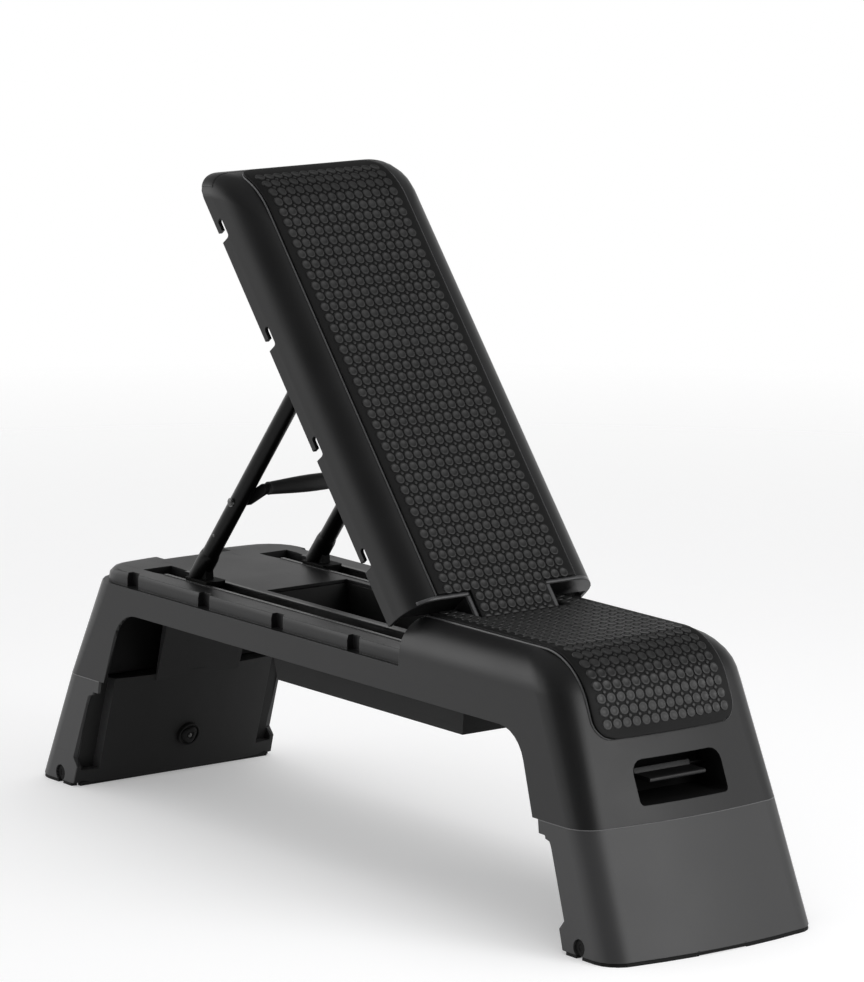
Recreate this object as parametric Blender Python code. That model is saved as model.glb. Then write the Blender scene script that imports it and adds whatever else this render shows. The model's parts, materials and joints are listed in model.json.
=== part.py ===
"""Adjustable aerobic step: a bench on fold-under legs whose deck lifts as a raised backrest.

+X is the seat end, -Y the near side, +Z up. The origin is on the floor under the middle of the bench.
The backrest is modelled lying flat and turned up about its hinge; the strut frame hangs from it.
"""

import math

import bmesh
import bpy
import numpy as np

MM = 0.001

# Outline of the whole bench
FLOOR_LENGTH = 1100 * MM
FLOOR_WIDTH = 282 * MM
END_LEAN = 0.42
SIDE_LEAN = 0.0375
END_BOW = 0.74
CORNER_RADIUS = 30 * MM
REAR_TOP_CORNER = 52 * MM
FRONT_TOP_CORNER = 38 * MM
SHELL_TOP = 301 * MM
SEAT_EDGE_RADIUS = 75 * MM
BACKREST_EDGE_RADIUS = 95 * MM
SHOULDER_RADIUS = 38 * MM

# Fits
GAP = 0.3 * MM
RUNNING_GAP = 1.0 * MM
CLOSED_GAP = 0.4 * MM

# Base shell
SEAM_HEIGHT = 133 * MM
BASE_WALL = 4 * MM
SEAT_WALL = 4.5 * MM
LEDGE_HEIGHT = 251 * MM
RIM_HEIGHT = 267 * MM
RIM_SIDE_INSET = 5.8 * MM
RIM_END_INSET = 6 * MM
RIM_CORNER = 44 * MM
RIM_SIDE_WALL = 15.2 * MM
RIM_END_WALL = 36 * MM
RIM_EDGE_ROUND = 4 * MM
RIM_END_ROUND = 14 * MM
ARCH_HEIGHT = 220.5 * MM
ARCH_FOOT = 400 * MM
ARCH_LEAN = 0.33
ARCH_FILLET = 45 * MM
BULKHEAD_PLACE = 427 * MM
FINGER_SCOOP_WIDTH = 92 * MM
FINGER_SCOOP_LENGTH = 22 * MM
FINGER_SCOOP_DEPTH = 7 * MM

# Seat and backrest hinge
SEAT_REAR = 161 * MM
SEAT_MAT_SETBACK = 2 * MM
HINGE_PLACE = 192 * MM
HINGE_HEIGHT = 287.5 * MM
HINGE_ROD_RADIUS = 4 * MM
HINGE_BOSS_RADIUS = 8.5 * MM
HINGE_BOSS_REACH = 8 * MM
KNUCKLE_RADIUS = 13.2 * MM
TONGUE_HALF_WIDTH = 57.5 * MM
RECESS_DEPTH = 19.5 * MM

# Slot rails
RAIL_OFFSET = 81.5 * MM
RAIL_WIDTH = 34 * MM
RAIL_SLOT = 24.4 * MM
RAIL_SHEET = 2 * MM
RAIL_DEPTH = 18 * MM
RAIL_LIP_RISE = 0.6 * MM
RAIL_REAR = -331 * MM
RAIL_FRONT = 204 * MM
TROUGH_WALL = 3 * MM
FLARE_LENGTH = 38 * MM
FLARE_WIDTH = 39 * MM

# Storage tray
TRAY_CLEARANCE = 2.9 * MM
TRAY_HALF_WIDTH = RAIL_OFFSET - RAIL_WIDTH / 2 - TROUGH_WALL - TRAY_CLEARANCE
TRAY_WALL = 3 * MM
TRAY_FLOOR = 172 * MM
TRAY_REAR_TOP = -189 * MM
TRAY_REAR_FLOOR = -161 * MM
TRAY_FRONT_FLOOR = 176 * MM
TRAY_FRONT_TOP = 184 * MM
TRAY_FLANGE = 14 * MM

# Notches and hooks for resistance tubes
NOTCH_FIRST = -364.6 * MM
NOTCH_PITCH = 141.7 * MM
NOTCH_COUNT = 4
NOTCH_WIDTH = 22 * MM
NOTCH_DEPTH = 8 * MM
HOOK_FIRST = -353.7 * MM
HOOK_PITCH = 140.4 * MM
HOOK_LENGTH = 24.7 * MM
HOOK_MOUTH = 12 * MM
HOOK_DEPTH = 14 * MM
HOOK_SLOT = 7 * MM

# Backrest
BACKREST_WALL = 4.5 * MM
BACKREST_FRONT = 159 * MM
BACKREST_ANGLE = 51.03
BACKREST_END_DRAW = 24.8 * MM
BACKREST_END_CORNER = 31 * MM
BACKREST_RIB_DEPTH = 9 * MM
BACKREST_RIB_WIDTH = 2.5 * MM
BACKREST_SPINE_DEPTH = 6 * MM
BACKREST_RIB_COUNT = 7
BACKREST_RIB_START = -331 * MM
MAT_THICKNESS = 3 * MM
MAT_HALF_WIDTH = 93 * MM
MAT_TONGUE_HALF_WIDTH = 50 * MM
MAT_CORNER_RADIUS = 22 * MM
SEAT_MAT_END_HEIGHT = 217 * MM
BACKREST_MAT_END_HEIGHT = 272 * MM

# Strut frame, shoes and pull handle
STRUT_LENGTH = 369 * MM
STRUT_RADIUS = 10 * MM
STRUT_BORE = 8.4 * MM
STRUT_EYE_RADIUS = 8.5 * MM
STRUT_PIN_RADIUS = 4 * MM
STRUT_FOOT_REACH = 8 * MM
STRUT_SLOT = 11 * MM
BRACKET_THICKNESS = 3 * MM
BRACKET_RADIUS = 11 * MM
SHOE_LENGTH = 47 * MM
SHOE_FLANGE = 2.5 * MM
SHOE_LUG_RADIUS = 7 * MM
SHOE_PIN_RADIUS = 3 * MM
HANDLE_RIVET_PLACE = 105 * MM
HANDLE_GRIP_PLACE = 139 * MM
HANDLE_GRIP_DROP = 14 * MM
HANDLE_CORE_RADIUS = 5 * MM
HANDLE_GRIP_RADIUS = 10 * MM
HANDLE_GRIP_END_RADIUS = 7 * MM
HANDLE_ARM_WIDTH = 12 * MM
HANDLE_ARM_THICKNESS = 5 * MM
RIVET_RADIUS = 2.8 * MM

# Legs
LEG_HINGE_PLACE = 405 * MM
LEG_HINGE_HEIGHT = 210 * MM
LEG_KNUCKLE_RADIUS = 10 * MM
LEG_ROD_RADIUS = 4 * MM
LEG_WALL = 4 * MM
LEG_PANEL_TOP = 403 * MM
LEG_PANEL_LEAN = 0.31
LEG_POCKET_INNER = 111 * MM
LEG_POCKET_OUTER = 134.2 * MM
LEG_POCKET_DEPTH = 24 * MM
LEG_POCKET_FLOOR = 20 * MM
LEG_TAB_HALF_WIDTH = 58 * MM
LEG_TAB_BEND = 196 * MM
LUG_THICKNESS = 6 * MM
FOOT_PAD_HEIGHT = 4 * MM
FOOT_HOLE_PLACE = 485 * MM
FOOT_HOLE_HEIGHT = 12 * MM
FOOT_HOLE_RADIUS = 9.5 * MM
STOP_RADIUS = 15 * MM
STOP_HEIGHT = 50 * MM
STOP_RISE = 5 * MM

# Hand-holds and latch paddles
HOLD_HALF_WIDTH = 59 * MM
HOLD_LOW = 150 * MM
HOLD_HIGH = 195 * MM
HOLD_TOP_CORNER = 14 * MM
HOLD_LOW_CORNER = 5 * MM
HOLD_COLLAR = 3 * MM
PADDLE_HALF_WIDTH = 37.5 * MM
PADDLE_PLACE = 441 * MM
PADDLE_HEIGHT = 175 * MM
PADDLE_REACH = 31 * MM
PADDLE_THICKNESS = 5 * MM
PADDLE_HUB_RADIUS = 5.5 * MM
PADDLE_ROD_RADIUS = 2.5 * MM

SIDES = (("near", -1), ("far", 1))
ENDS = (("front", 1), ("rear", -1))
FULL_WIDTH = FLOOR_WIDTH


# Shapes as (points, faces)


def loft(rings):
    """A closed solid through rings of equally many points."""
    count = len(rings[0])
    points = [tuple(point) for ring in rings for point in ring]
    faces = [tuple(range(count)), tuple(range(len(points) - count, len(points)))]
    for level in range(len(rings) - 1):
        low = level * count
        for i in range(count):
            j = (i + 1) % count
            faces.append((low + i, low + j, low + count + j, low + count + i))
    return points, faces


def block(low, high):
    """An upright box between two corners."""
    ring = [(low[0], low[1]), (high[0], low[1]), (high[0], high[1]), (low[0], high[1])]
    return loft([[(x, y, z) for x, y in ring] for z in (low[2], high[2])])


def along_y(profile, low, high):
    """A profile of (x, z) points drawn out across the bench."""
    return loft([[(x, y, z) for x, z in profile] for y in (low, high)])


def along_x(profile, low, high):
    """A profile of (y, z) points drawn out along the bench."""
    return loft([[(x, y, z) for y, z in profile] for x in (low, high)])


def along_z(profile, low, high):
    """A plan of (x, y) points drawn upwards."""
    return loft([[(x, y, z) for x, y in profile] for z in (low, high)])


def arc(centre, radius, start, end, steps):
    """Points on an arc, its angles in degrees from the first axis."""
    angles = np.radians(np.linspace(start, end, steps + 1))
    return [(centre[0] + radius * math.cos(a), centre[1] + radius * math.sin(a)) for a in angles]


def circle(centre, radius, steps=20):
    """A whole circle of points."""
    return arc(centre, radius, 0, 360, steps)[:-1]


def rod(place, height, radius, low, high, steps=20):
    """A round bar across the bench."""
    return along_y(circle((place, height), radius, steps), low, high)


def mirrored(shape, sign):
    """The shape at the front end, or flipped to the rear end."""
    points, faces = shape
    return [(sign * x, y, z) for x, y, z in points], faces


def moved(shape, offset):
    points, faces = shape
    return [tuple(np.subtract(point, offset)) for point in points], faces


# Objects


def clear_scene():
    for old in list(bpy.data.objects):
        bpy.data.objects.remove(old, do_unlink=True)


def material(name, colour, roughness, metallic=0.0):
    made = bpy.data.materials.new(name)
    made.use_nodes = True
    surface = made.node_tree.nodes["Principled BSDF"]
    surface.inputs["Base Color"].default_value = (*colour, 1.0)
    surface.inputs["Roughness"].default_value = roughness
    surface.inputs["Metallic"].default_value = metallic
    made.diffuse_color = (*colour, 1.0)
    return made


def axis(name, place, turn=0.0, parent=None):
    """An empty on a joint's axis; turn is about +Y, in degrees."""
    empty = bpy.data.objects.new(name, None)
    empty.empty_display_size = 20 * MM
    empty.location = place
    empty.rotation_euler = (0.0, math.radians(turn), 0.0)
    empty.parent = parent
    bpy.context.scene.collection.objects.link(empty)
    return empty


def solid(name, shape, finish=None, parent=None, smooth=30):
    """An object in its parent's frame with its faces pointing out."""
    points, faces = shape
    mesh = bpy.data.meshes.new(name)
    mesh.from_pydata([tuple(map(float, point)) for point in points], [], faces)
    form = bmesh.new()
    form.from_mesh(mesh)
    bmesh.ops.remove_doubles(form, verts=form.verts, dist=1e-6)
    bmesh.ops.recalc_face_normals(form, faces=form.faces)
    form.to_mesh(mesh)
    form.free()
    mesh.shade_smooth()
    mesh.set_sharp_from_angle(angle=math.radians(smooth))
    made = bpy.data.objects.new(name, mesh)
    made.parent = parent
    bpy.context.scene.collection.objects.link(made)
    if finish:
        mesh.materials.append(finish)
    else:
        made.hide_render = True
        made.display_type = "WIRE"
    return made


def combine(target, operation, *shapes):
    """Cuts shapes from the target or joins them to it, as live modifiers with hidden tools."""
    for shape in shapes:
        number = len(target.modifiers)
        tool = shape
        if not isinstance(shape, bpy.types.Object):
            tool = solid(f"{target.name}_tool_{number:02d}", shape, parent=target.parent)
        step = target.modifiers.new(f"{operation.lower()}_{number:02d}", "BOOLEAN")
        step.operation = operation
        step.solver = "EXACT"
        step.object = tool


def cut(target, *shapes):
    combine(target, "DIFFERENCE", *shapes)


def join(target, *shapes):
    combine(target, "UNION", *shapes)


# The bench's common outline


def end_line(height):
    """How far the leaning end wall stands out at a height, midway across."""
    return FLOOR_LENGTH / 2 - END_LEAN * height


def side_line(height):
    """Half the width between the leaning side walls at a height."""
    return FLOOR_WIDTH / 2 - SIDE_LEAN * height


def end_reach(height, radius, inset=0.0):
    """The end wall, rolled over into the flat top by a radius."""
    slant = math.hypot(1, END_LEAN)
    centre_height = SHELL_TOP - radius
    centre = end_line(centre_height) - radius * slant
    if height <= centre_height + radius * END_LEAN / slant:
        return end_line(height) - inset * slant
    rise = height - centre_height
    return centre + math.sqrt(max((radius - inset) ** 2 - rise**2, 0.0))


def side_reach(height, inset=0.0):
    """The side wall, rolled over into the flat top by the shoulder."""
    centre_height = SHELL_TOP - SHOULDER_RADIUS
    if height <= centre_height:
        return side_line(height) - inset
    rise = height - centre_height
    start = side_line(centre_height) - SHOULDER_RADIUS
    return start + math.sqrt(max((SHOULDER_RADIUS - inset) ** 2 - rise**2, 0.0))


def plan(front, rear, half_width, front_corner, rear_corner, rear_bow=END_BOW):
    """A plan outline with bowed ends and round corners; rear is negative towards the rear end."""
    arc_steps = 5
    end_steps = 6
    points = []
    front_flat = half_width - front_corner
    rear_flat = half_width - rear_corner
    for y in np.linspace(-front_flat, front_flat, end_steps + 1):
        points.append((front - END_BOW * y * y, y))
    centre = (front - END_BOW * front_flat**2 - front_corner, front_flat)
    points += arc(centre, front_corner, 0, 90, arc_steps)[1:]
    centre = (rear + rear_bow * rear_flat**2 + rear_corner, rear_flat)
    points += arc(centre, rear_corner, 90, 180, arc_steps)[:-1]
    for y in np.linspace(rear_flat, -rear_flat, end_steps + 1):
        points.append((rear + rear_bow * y * y, y))
    centre = (centre[0], -rear_flat)
    points += arc(centre, rear_corner, 180, 270, arc_steps)[1:]
    centre = (front - END_BOW * front_flat**2 - front_corner, -front_flat)
    points += arc(centre, front_corner, 270, 360, arc_steps)[:-1]
    return points


def corner_radius(height, top_corner, inset):
    """The plan corner opens out from the seam to the top."""
    share = min(max((height - SEAM_HEIGHT) / (SHELL_TOP - SEAM_HEIGHT), 0.0), 1.0)
    return CORNER_RADIUS + (top_corner - CORNER_RADIUS) * share - inset


def level_ring(height, inset=0.0):
    """The bench's outline at a height, drawn in by an inset."""
    half_width = side_reach(height, inset)
    front = end_reach(height, SEAT_EDGE_RADIUS, inset)
    rear_corner = corner_radius(height, REAR_TOP_CORNER, inset)
    rear = -end_reach(height, BACKREST_EDGE_RADIUS, inset)
    front_corner = corner_radius(height, FRONT_TOP_CORNER, inset)
    outline = plan(front, rear, half_width, front_corner, rear_corner)
    return [(x, y, height) for x, y in outline]


def backrest_ring(height, inset=0.0):
    """The lying backrest's outline at a height, with its own straight and shorter rear end."""
    half_width = side_reach(height, inset)
    front = end_reach(height, SEAT_EDGE_RADIUS, inset)
    rear = BACKREST_END_DRAW - end_reach(height, BACKREST_EDGE_RADIUS, inset)
    corner = BACKREST_END_CORNER - inset
    outline = plan(front, rear, half_width, corner, corner, rear_bow=0.0)
    return [(x, y, height) for x, y in outline]


def roll_heights(bottom, inset=0.0):
    """Heights from the bottom to the top, closer together where the shoulder rolls over."""
    start = SHELL_TOP - SHOULDER_RADIUS
    radius = SHOULDER_RADIUS - inset
    turns = np.radians((0, 14, 28, 41, 53, 64, 74, 83, 90))
    lean_end = SHELL_TOP - SEAT_EDGE_RADIUS + SEAT_EDGE_RADIUS * END_LEAN
    return [bottom, lean_end - 9 * MM] + [start + radius * math.sin(turn) for turn in turns]


def hull(bottom, inset=0.0, ring=level_ring):
    """A whole form from a height up to its rolled-over top, through its outlines."""
    return loft([ring(height, inset) for height in roll_heights(bottom, inset)])


def wedge(bottom, top, inset=0.0):
    """The straight leaning part of the bench form between two heights."""
    return loft([level_ring(height, inset) for height in (bottom, top)])


def far_box(low_x, high_x, low_z, high_z):
    """A box right across the bench."""
    return block((low_x, -FULL_WIDTH, low_z), (high_x, FULL_WIDTH, high_z))


# Base shell


def rim_block(grow=0.0):
    """The raised rim that the backrest closes over, with its rear edge rounded."""
    rings = []
    base = LEDGE_HEIGHT - BASE_WALL / 2
    rounds = [(base, 0.0), (RIM_HEIGHT - RIM_END_ROUND, 0.0)]
    for turn in np.radians((35, 65, 90)):
        rounds.append((RIM_HEIGHT - RIM_END_ROUND * (1 - math.sin(turn)), 1 - math.cos(turn)))
    for height, share in rounds:
        rear = -end_line(LEDGE_HEIGHT) + RIM_END_INSET + RIM_END_ROUND * share - grow
        half_width = side_line(LEDGE_HEIGHT) - RIM_SIDE_INSET + grow
        if height > RIM_HEIGHT - RIM_EDGE_ROUND:
            half_width -= RIM_EDGE_ROUND * share * 0.5
        front = SEAT_REAR + 3 * BASE_WALL
        outline = plan(front, rear, half_width, BASE_WALL, RIM_CORNER + grow)
        rings.append([(x, y, height + grow) for x, y in outline])
    return loft(rings)


def arch_profile():
    """The low arch between the end columns, filleted under the deck."""
    top_corner = ARCH_FOOT - ARCH_LEAN * (ARCH_HEIGHT - SEAM_HEIGHT)
    lean = math.degrees(math.atan(ARCH_LEAN))
    reach = ARCH_FILLET * math.tan(math.radians(90 - lean) / 2)
    centre = (top_corner - reach, ARCH_HEIGHT - ARCH_FILLET)
    half = [(ARCH_FOOT + ARCH_LEAN * 3 * MM, SEAM_HEIGHT - 3 * MM)]
    half += arc(centre, ARCH_FILLET, lean, 90, 6)
    return half + [(-x, z) for x, z in reversed(half)]


def seat_hollow():
    """The inside of the seat, kept clear of the recess that the backrest's tongue turns in."""
    heights = roll_heights(LEDGE_HEIGHT - 3 * BASE_WALL, SEAT_WALL)
    rings = []
    for height in heights:
        half_width = side_reach(height, SEAT_WALL)
        front = end_reach(height, SEAT_EDGE_RADIUS, SEAT_WALL)
        corner = corner_radius(height, FRONT_TOP_CORNER, SEAT_WALL)
        outline = plan(front, SEAT_REAR + BASE_WALL, half_width, corner, BASE_WALL)
        rings.append([(x, y, height) for x, y in outline])
    hollow = solid("seat_hollow", loft(rings))
    wall_x = HINGE_PLACE + RECESS_DEPTH + BASE_WALL
    wall_y = TONGUE_HALF_WIDTH + RUNNING_GAP + BASE_WALL
    cut(hollow, block((0, -wall_y, RIM_HEIGHT - BASE_WALL), (wall_x, wall_y, SHELL_TOP + BASE_WALL)))
    return hollow


def trough(side):
    """The walled trough under the deck that holds a slot rail."""
    half = max(RAIL_WIDTH, FLARE_WIDTH) / 2 + TROUGH_WALL
    low = (RAIL_REAR - FLARE_LENGTH - TROUGH_WALL, side * RAIL_OFFSET - half)
    high = (RAIL_FRONT + TROUGH_WALL, side * RAIL_OFFSET + half)
    floor = RIM_HEIGHT - RAIL_DEPTH - TROUGH_WALL
    return block((*low, floor), (*high, RIM_HEIGHT - BASE_WALL / 2))


def rail_seat(side):
    """The space cut for a slot rail, flared behind it where a shoe lifts out."""
    half = RAIL_WIDTH / 2 + GAP
    flare = FLARE_WIDTH / 2
    start = RAIL_REAR - GAP
    end = RAIL_FRONT + GAP
    mid = start - FLARE_LENGTH / 2
    back = start - FLARE_LENGTH
    outline = [(end, -half), (end, half), (start, half), (mid, flare), (back, flare)]
    outline += [(back, -flare), (mid, -flare), (start, -half)]
    shifted = [(x, y + side * RAIL_OFFSET) for x, y in outline]
    return along_z(shifted, RIM_HEIGHT - RAIL_DEPTH - GAP, RIM_HEIGHT + BASE_WALL)


def shoe_door(side):
    """The doorway in the seat's rear wall that the shoes could run under."""
    half = RAIL_WIDTH / 2 - RAIL_SHEET
    low = (SEAT_REAR - BASE_WALL, side * RAIL_OFFSET - half, RIM_HEIGHT - BASE_WALL)
    high = (SEAT_REAR + 2 * BASE_WALL, side * RAIL_OFFSET + half, HINGE_HEIGHT + BASE_WALL)
    return block(low, high)


def row_of_starts(first, pitch):
    return [first + i * pitch for i in range(NOTCH_COUNT)]


def rim_notch(start, side):
    """A groove down the rim, in line with a hook in the backrest's skirt."""
    face = side_line(LEDGE_HEIGHT) - RIM_SIDE_INSET
    outline = [
        (start, side * (face + NOTCH_DEPTH)),
        (start, side * (face - NOTCH_DEPTH)),
        (start + NOTCH_WIDTH - NOTCH_DEPTH, side * (face - NOTCH_DEPTH)),
        (start + NOTCH_WIDTH, side * face),
        (start + NOTCH_WIDTH, side * (face + NOTCH_DEPTH)),
    ]
    return along_z(outline, LEDGE_HEIGHT, RIM_HEIGHT + BASE_WALL)


def hold_profile(grow=0.0):
    """The rounded opening of a hand-hold as (y, z)."""
    top = HOLD_TOP_CORNER + grow
    low = HOLD_LOW_CORNER + grow
    half = HOLD_HALF_WIDTH + grow
    bottom = HOLD_LOW - grow
    high = HOLD_HIGH + grow
    points = arc((half - top, high - top), top, 0, 90, 4)
    points += arc((-half + top, high - top), top, 90, 180, 4)
    points += arc((-half + low, bottom + low), low, 180, 270, 3)
    points += arc((half - low, bottom + low), low, 270, 360, 3)
    return points


def sloped_along_x(profile, start, inset):
    """A (y, z) profile drawn out from a flat start to just inside the leaning end wall."""
    near_end = [(start, y, z) for y, z in profile]
    far_end = [(end_line(z) - inset, y, z) for y, z in profile]
    return loft([near_end, far_end])


def bulkhead(sign):
    """The wall behind a hand-hold that carries the leg's hinge lugs."""
    half = BASE_WALL / 2
    wall = far_box(BULKHEAD_PLACE - half, BULKHEAD_PLACE + half, 0, LEDGE_HEIGHT - half)
    made = solid(f"bulkhead_{sign:+d}", mirrored(wall, sign))
    combine(made, "INTERSECT", hull(SEAM_HEIGHT + 3 * MM, BASE_WALL / 2))
    return made


def hinge_lugs(sign):
    """Two lugs from the bulkhead to the leg's hinge, one at each side of its tab."""
    made = []
    low = LEG_HINGE_HEIGHT - LEG_KNUCKLE_RADIUS
    high = LEG_HINGE_HEIGHT + LEG_KNUCKLE_RADIUS
    nose = arc((LEG_HINGE_PLACE, LEG_HINGE_HEIGHT), LEG_KNUCKLE_RADIUS, 90, 270, 8)
    profile = nose + [(BULKHEAD_PLACE, low), (BULKHEAD_PLACE, high)]
    for _, side in SIDES:
        start = side * (LEG_TAB_HALF_WIDTH + RUNNING_GAP)
        end = side * (LEG_TAB_HALF_WIDTH + RUNNING_GAP + LUG_THICKNESS)
        made.append(mirrored(along_y(profile, min(start, end), max(start, end)), sign))
    return made


def build_base(finish):
    base = solid("base_shell", hull(SEAM_HEIGHT), finish)
    upper = far_box(-FLOOR_LENGTH, SEAT_REAR, LEDGE_HEIGHT, SHELL_TOP + BASE_WALL)
    cut(base, upper)
    join(base, rim_block())
    cut(base, wedge(SEAM_HEIGHT - 3 * BASE_WALL, LEDGE_HEIGHT - BASE_WALL, BASE_WALL))
    rim_half = side_line(LEDGE_HEIGHT) - RIM_SIDE_INSET - RIM_SIDE_WALL
    rim_rear = -end_line(LEDGE_HEIGHT) + RIM_END_INSET + RIM_END_WALL
    low = (rim_rear, -rim_half, LEDGE_HEIGHT - 2 * BASE_WALL)
    high = (SEAT_REAR - BASE_WALL, rim_half, RIM_HEIGHT - BASE_WALL)
    cut(base, block(low, high))
    cut(base, seat_hollow())

    # the recess for the tongue, and bosses for the backrest's hinge rod
    recess_y = TONGUE_HALF_WIDTH + RUNNING_GAP
    low = (SEAT_REAR - BASE_WALL, -recess_y, RIM_HEIGHT)
    high = (HINGE_PLACE + RECESS_DEPTH, recess_y, SHELL_TOP + BASE_WALL)
    cut(base, block(low, high))
    for _, side in SIDES:
        ends = sorted((side * (recess_y + BASE_WALL / 2), side * (recess_y + HINGE_BOSS_REACH)))
        join(base, rod(HINGE_PLACE, HINGE_HEIGHT, HINGE_BOSS_RADIUS, *ends))
    reach = recess_y + HINGE_BOSS_REACH + BASE_WALL
    cut(base, rod(HINGE_PLACE, HINGE_HEIGHT, HINGE_ROD_RADIUS + GAP, -reach, reach))

    # troughs, rail seats and the doors under the seat
    for _, side in SIDES:
        join(base, trough(side))
        cut(base, rail_seat(side), shoe_door(side))

    # the tray's opening in the deck, and room for the tray and its flanges below it
    reach = TRAY_WALL + TRAY_FLANGE + RUNNING_GAP
    room = TRAY_HALF_WIDTH + GAP
    low = (TRAY_REAR_TOP - reach, -room, TRAY_FLOOR)
    cut(base, block(low, (TRAY_FRONT_TOP + reach, room, RIM_HEIGHT - BASE_WALL)))
    half = TRAY_HALF_WIDTH - TRAY_WALL
    low = (TRAY_REAR_TOP, -half, RIM_HEIGHT - 2 * BASE_WALL)
    cut(base, block(low, (TRAY_FRONT_TOP, half, RIM_HEIGHT + BASE_WALL)))

    # the end columns: bulkheads, hinge lugs, hand-holds
    for _, sign in ENDS:
        join(base, bulkhead(sign), *hinge_lugs(sign))
        collar = sloped_along_x(hold_profile(HOLD_COLLAR), BULKHEAD_PLACE, BASE_WALL - 0.5 * MM)
        join(base, mirrored(collar, sign))
        inside = sloped_along_x(hold_profile(), BULKHEAD_PLACE + BASE_WALL / 2, -BASE_WALL)
        cut(base, mirrored(inside, sign))
        lug_y = LEG_TAB_HALF_WIDTH + 2 * RUNNING_GAP + LUG_THICKNESS
        hole = rod(LEG_HINGE_PLACE, LEG_HINGE_HEIGHT, LEG_ROD_RADIUS + GAP, -lug_y, lug_y)
        cut(base, mirrored(hole, sign))
        rod_y = HOLD_HALF_WIDTH + HOLD_COLLAR + RUNNING_GAP
        hole = rod(PADDLE_PLACE, PADDLE_HEIGHT, PADDLE_ROD_RADIUS + GAP, -rod_y, rod_y, 12)
        cut(base, mirrored(hole, sign))

    cut(base, along_y(arch_profile(), -FULL_WIDTH, FULL_WIDTH))
    for start in row_of_starts(NOTCH_FIRST, NOTCH_PITCH):
        for _, side in SIDES:
            cut(base, rim_notch(start, side))
    scoop_x = -end_line(LEDGE_HEIGHT) + RIM_END_INSET + RIM_END_ROUND + FINGER_SCOOP_LENGTH
    scoop_z = RIM_HEIGHT - FINGER_SCOOP_DEPTH
    scoop = [(scoop_x, RIM_HEIGHT + MM), (scoop_x - FINGER_SCOOP_DEPTH, scoop_z)]
    scoop += [(-FLOOR_LENGTH / 2, scoop_z), (-FLOOR_LENGTH / 2, RIM_HEIGHT + MM)]
    cut(base, along_y(scoop, -FINGER_SCOOP_WIDTH / 2, FINGER_SCOOP_WIDTH / 2))
    return base


def build_deck_fittings(rail_finish, plastic, steel):
    for label, side in SIDES:
        half = RAIL_WIDTH / 2
        slot = RAIL_SLOT / 2
        low = RIM_HEIGHT - RAIL_DEPTH
        top = RIM_HEIGHT + RAIL_LIP_RISE
        lip = top - RAIL_SHEET
        floor = low + RAIL_SHEET
        inner = half - RAIL_SHEET
        profile = [(-half, low), (half, low), (half, top), (slot, top), (slot, lip), (inner, lip)]
        profile += [(inner, floor), (-inner, floor), (-inner, lip)]
        profile += [(-slot, lip), (-slot, top), (-half, top)]
        shifted = [(y + side * RAIL_OFFSET, z) for y, z in profile]
        solid(f"slot_rail_{label}", along_x(shifted, RAIL_REAR, RAIL_FRONT), rail_finish)

    top = RIM_HEIGHT - BASE_WALL - GAP
    under = TRAY_FLOOR - TRAY_WALL
    outer = [(TRAY_REAR_FLOOR - TRAY_WALL, under), (TRAY_FRONT_FLOOR + TRAY_WALL, under)]
    outer += [(TRAY_FRONT_TOP + TRAY_WALL, top), (TRAY_REAR_TOP - TRAY_WALL, top)]
    tray = solid("storage_tray", along_y(outer, -TRAY_HALF_WIDTH, TRAY_HALF_WIDTH), plastic)
    flange_low = top - TRAY_WALL
    low = (TRAY_REAR_TOP - TRAY_WALL - TRAY_FLANGE, -TRAY_HALF_WIDTH + TRAY_WALL, flange_low)
    high = (TRAY_FRONT_TOP + TRAY_WALL + TRAY_FLANGE, TRAY_HALF_WIDTH - TRAY_WALL, top)
    join(tray, block(low, high))
    inner = [(TRAY_REAR_FLOOR, TRAY_FLOOR), (TRAY_FRONT_FLOOR, TRAY_FLOOR)]
    slope = (TRAY_FRONT_TOP - TRAY_FRONT_FLOOR) / (RIM_HEIGHT - TRAY_FLOOR)
    rear_slope = (TRAY_REAR_TOP - TRAY_REAR_FLOOR) / (RIM_HEIGHT - TRAY_FLOOR)
    over = RIM_HEIGHT + BASE_WALL - TRAY_FLOOR
    inner += [(TRAY_FRONT_FLOOR + slope * over, TRAY_FLOOR + over)]
    inner += [(TRAY_REAR_FLOOR + rear_slope * over, TRAY_FLOOR + over)]
    cut(tray, along_y(inner, -TRAY_HALF_WIDTH + TRAY_WALL, TRAY_HALF_WIDTH - TRAY_WALL))

    reach = TONGUE_HALF_WIDTH + RUNNING_GAP + HINGE_BOSS_REACH
    solid("backrest_hinge_rod", rod(HINGE_PLACE, HINGE_HEIGHT, HINGE_ROD_RADIUS, -reach, reach), steel)
    for label, sign in ENDS:
        reach = LEG_TAB_HALF_WIDTH + RUNNING_GAP + LUG_THICKNESS
        bar = rod(LEG_HINGE_PLACE, LEG_HINGE_HEIGHT, LEG_ROD_RADIUS, -reach, reach)
        solid(f"leg_hinge_rod_{label}", mirrored(bar, sign), steel)
        reach = HOLD_HALF_WIDTH + HOLD_COLLAR
        bar = rod(PADDLE_PLACE, PADDLE_HEIGHT, PADDLE_ROD_RADIUS, -reach, reach, 12)
        solid(f"latch_rod_{label}", mirrored(bar, sign), steel)


# Mats


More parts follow.
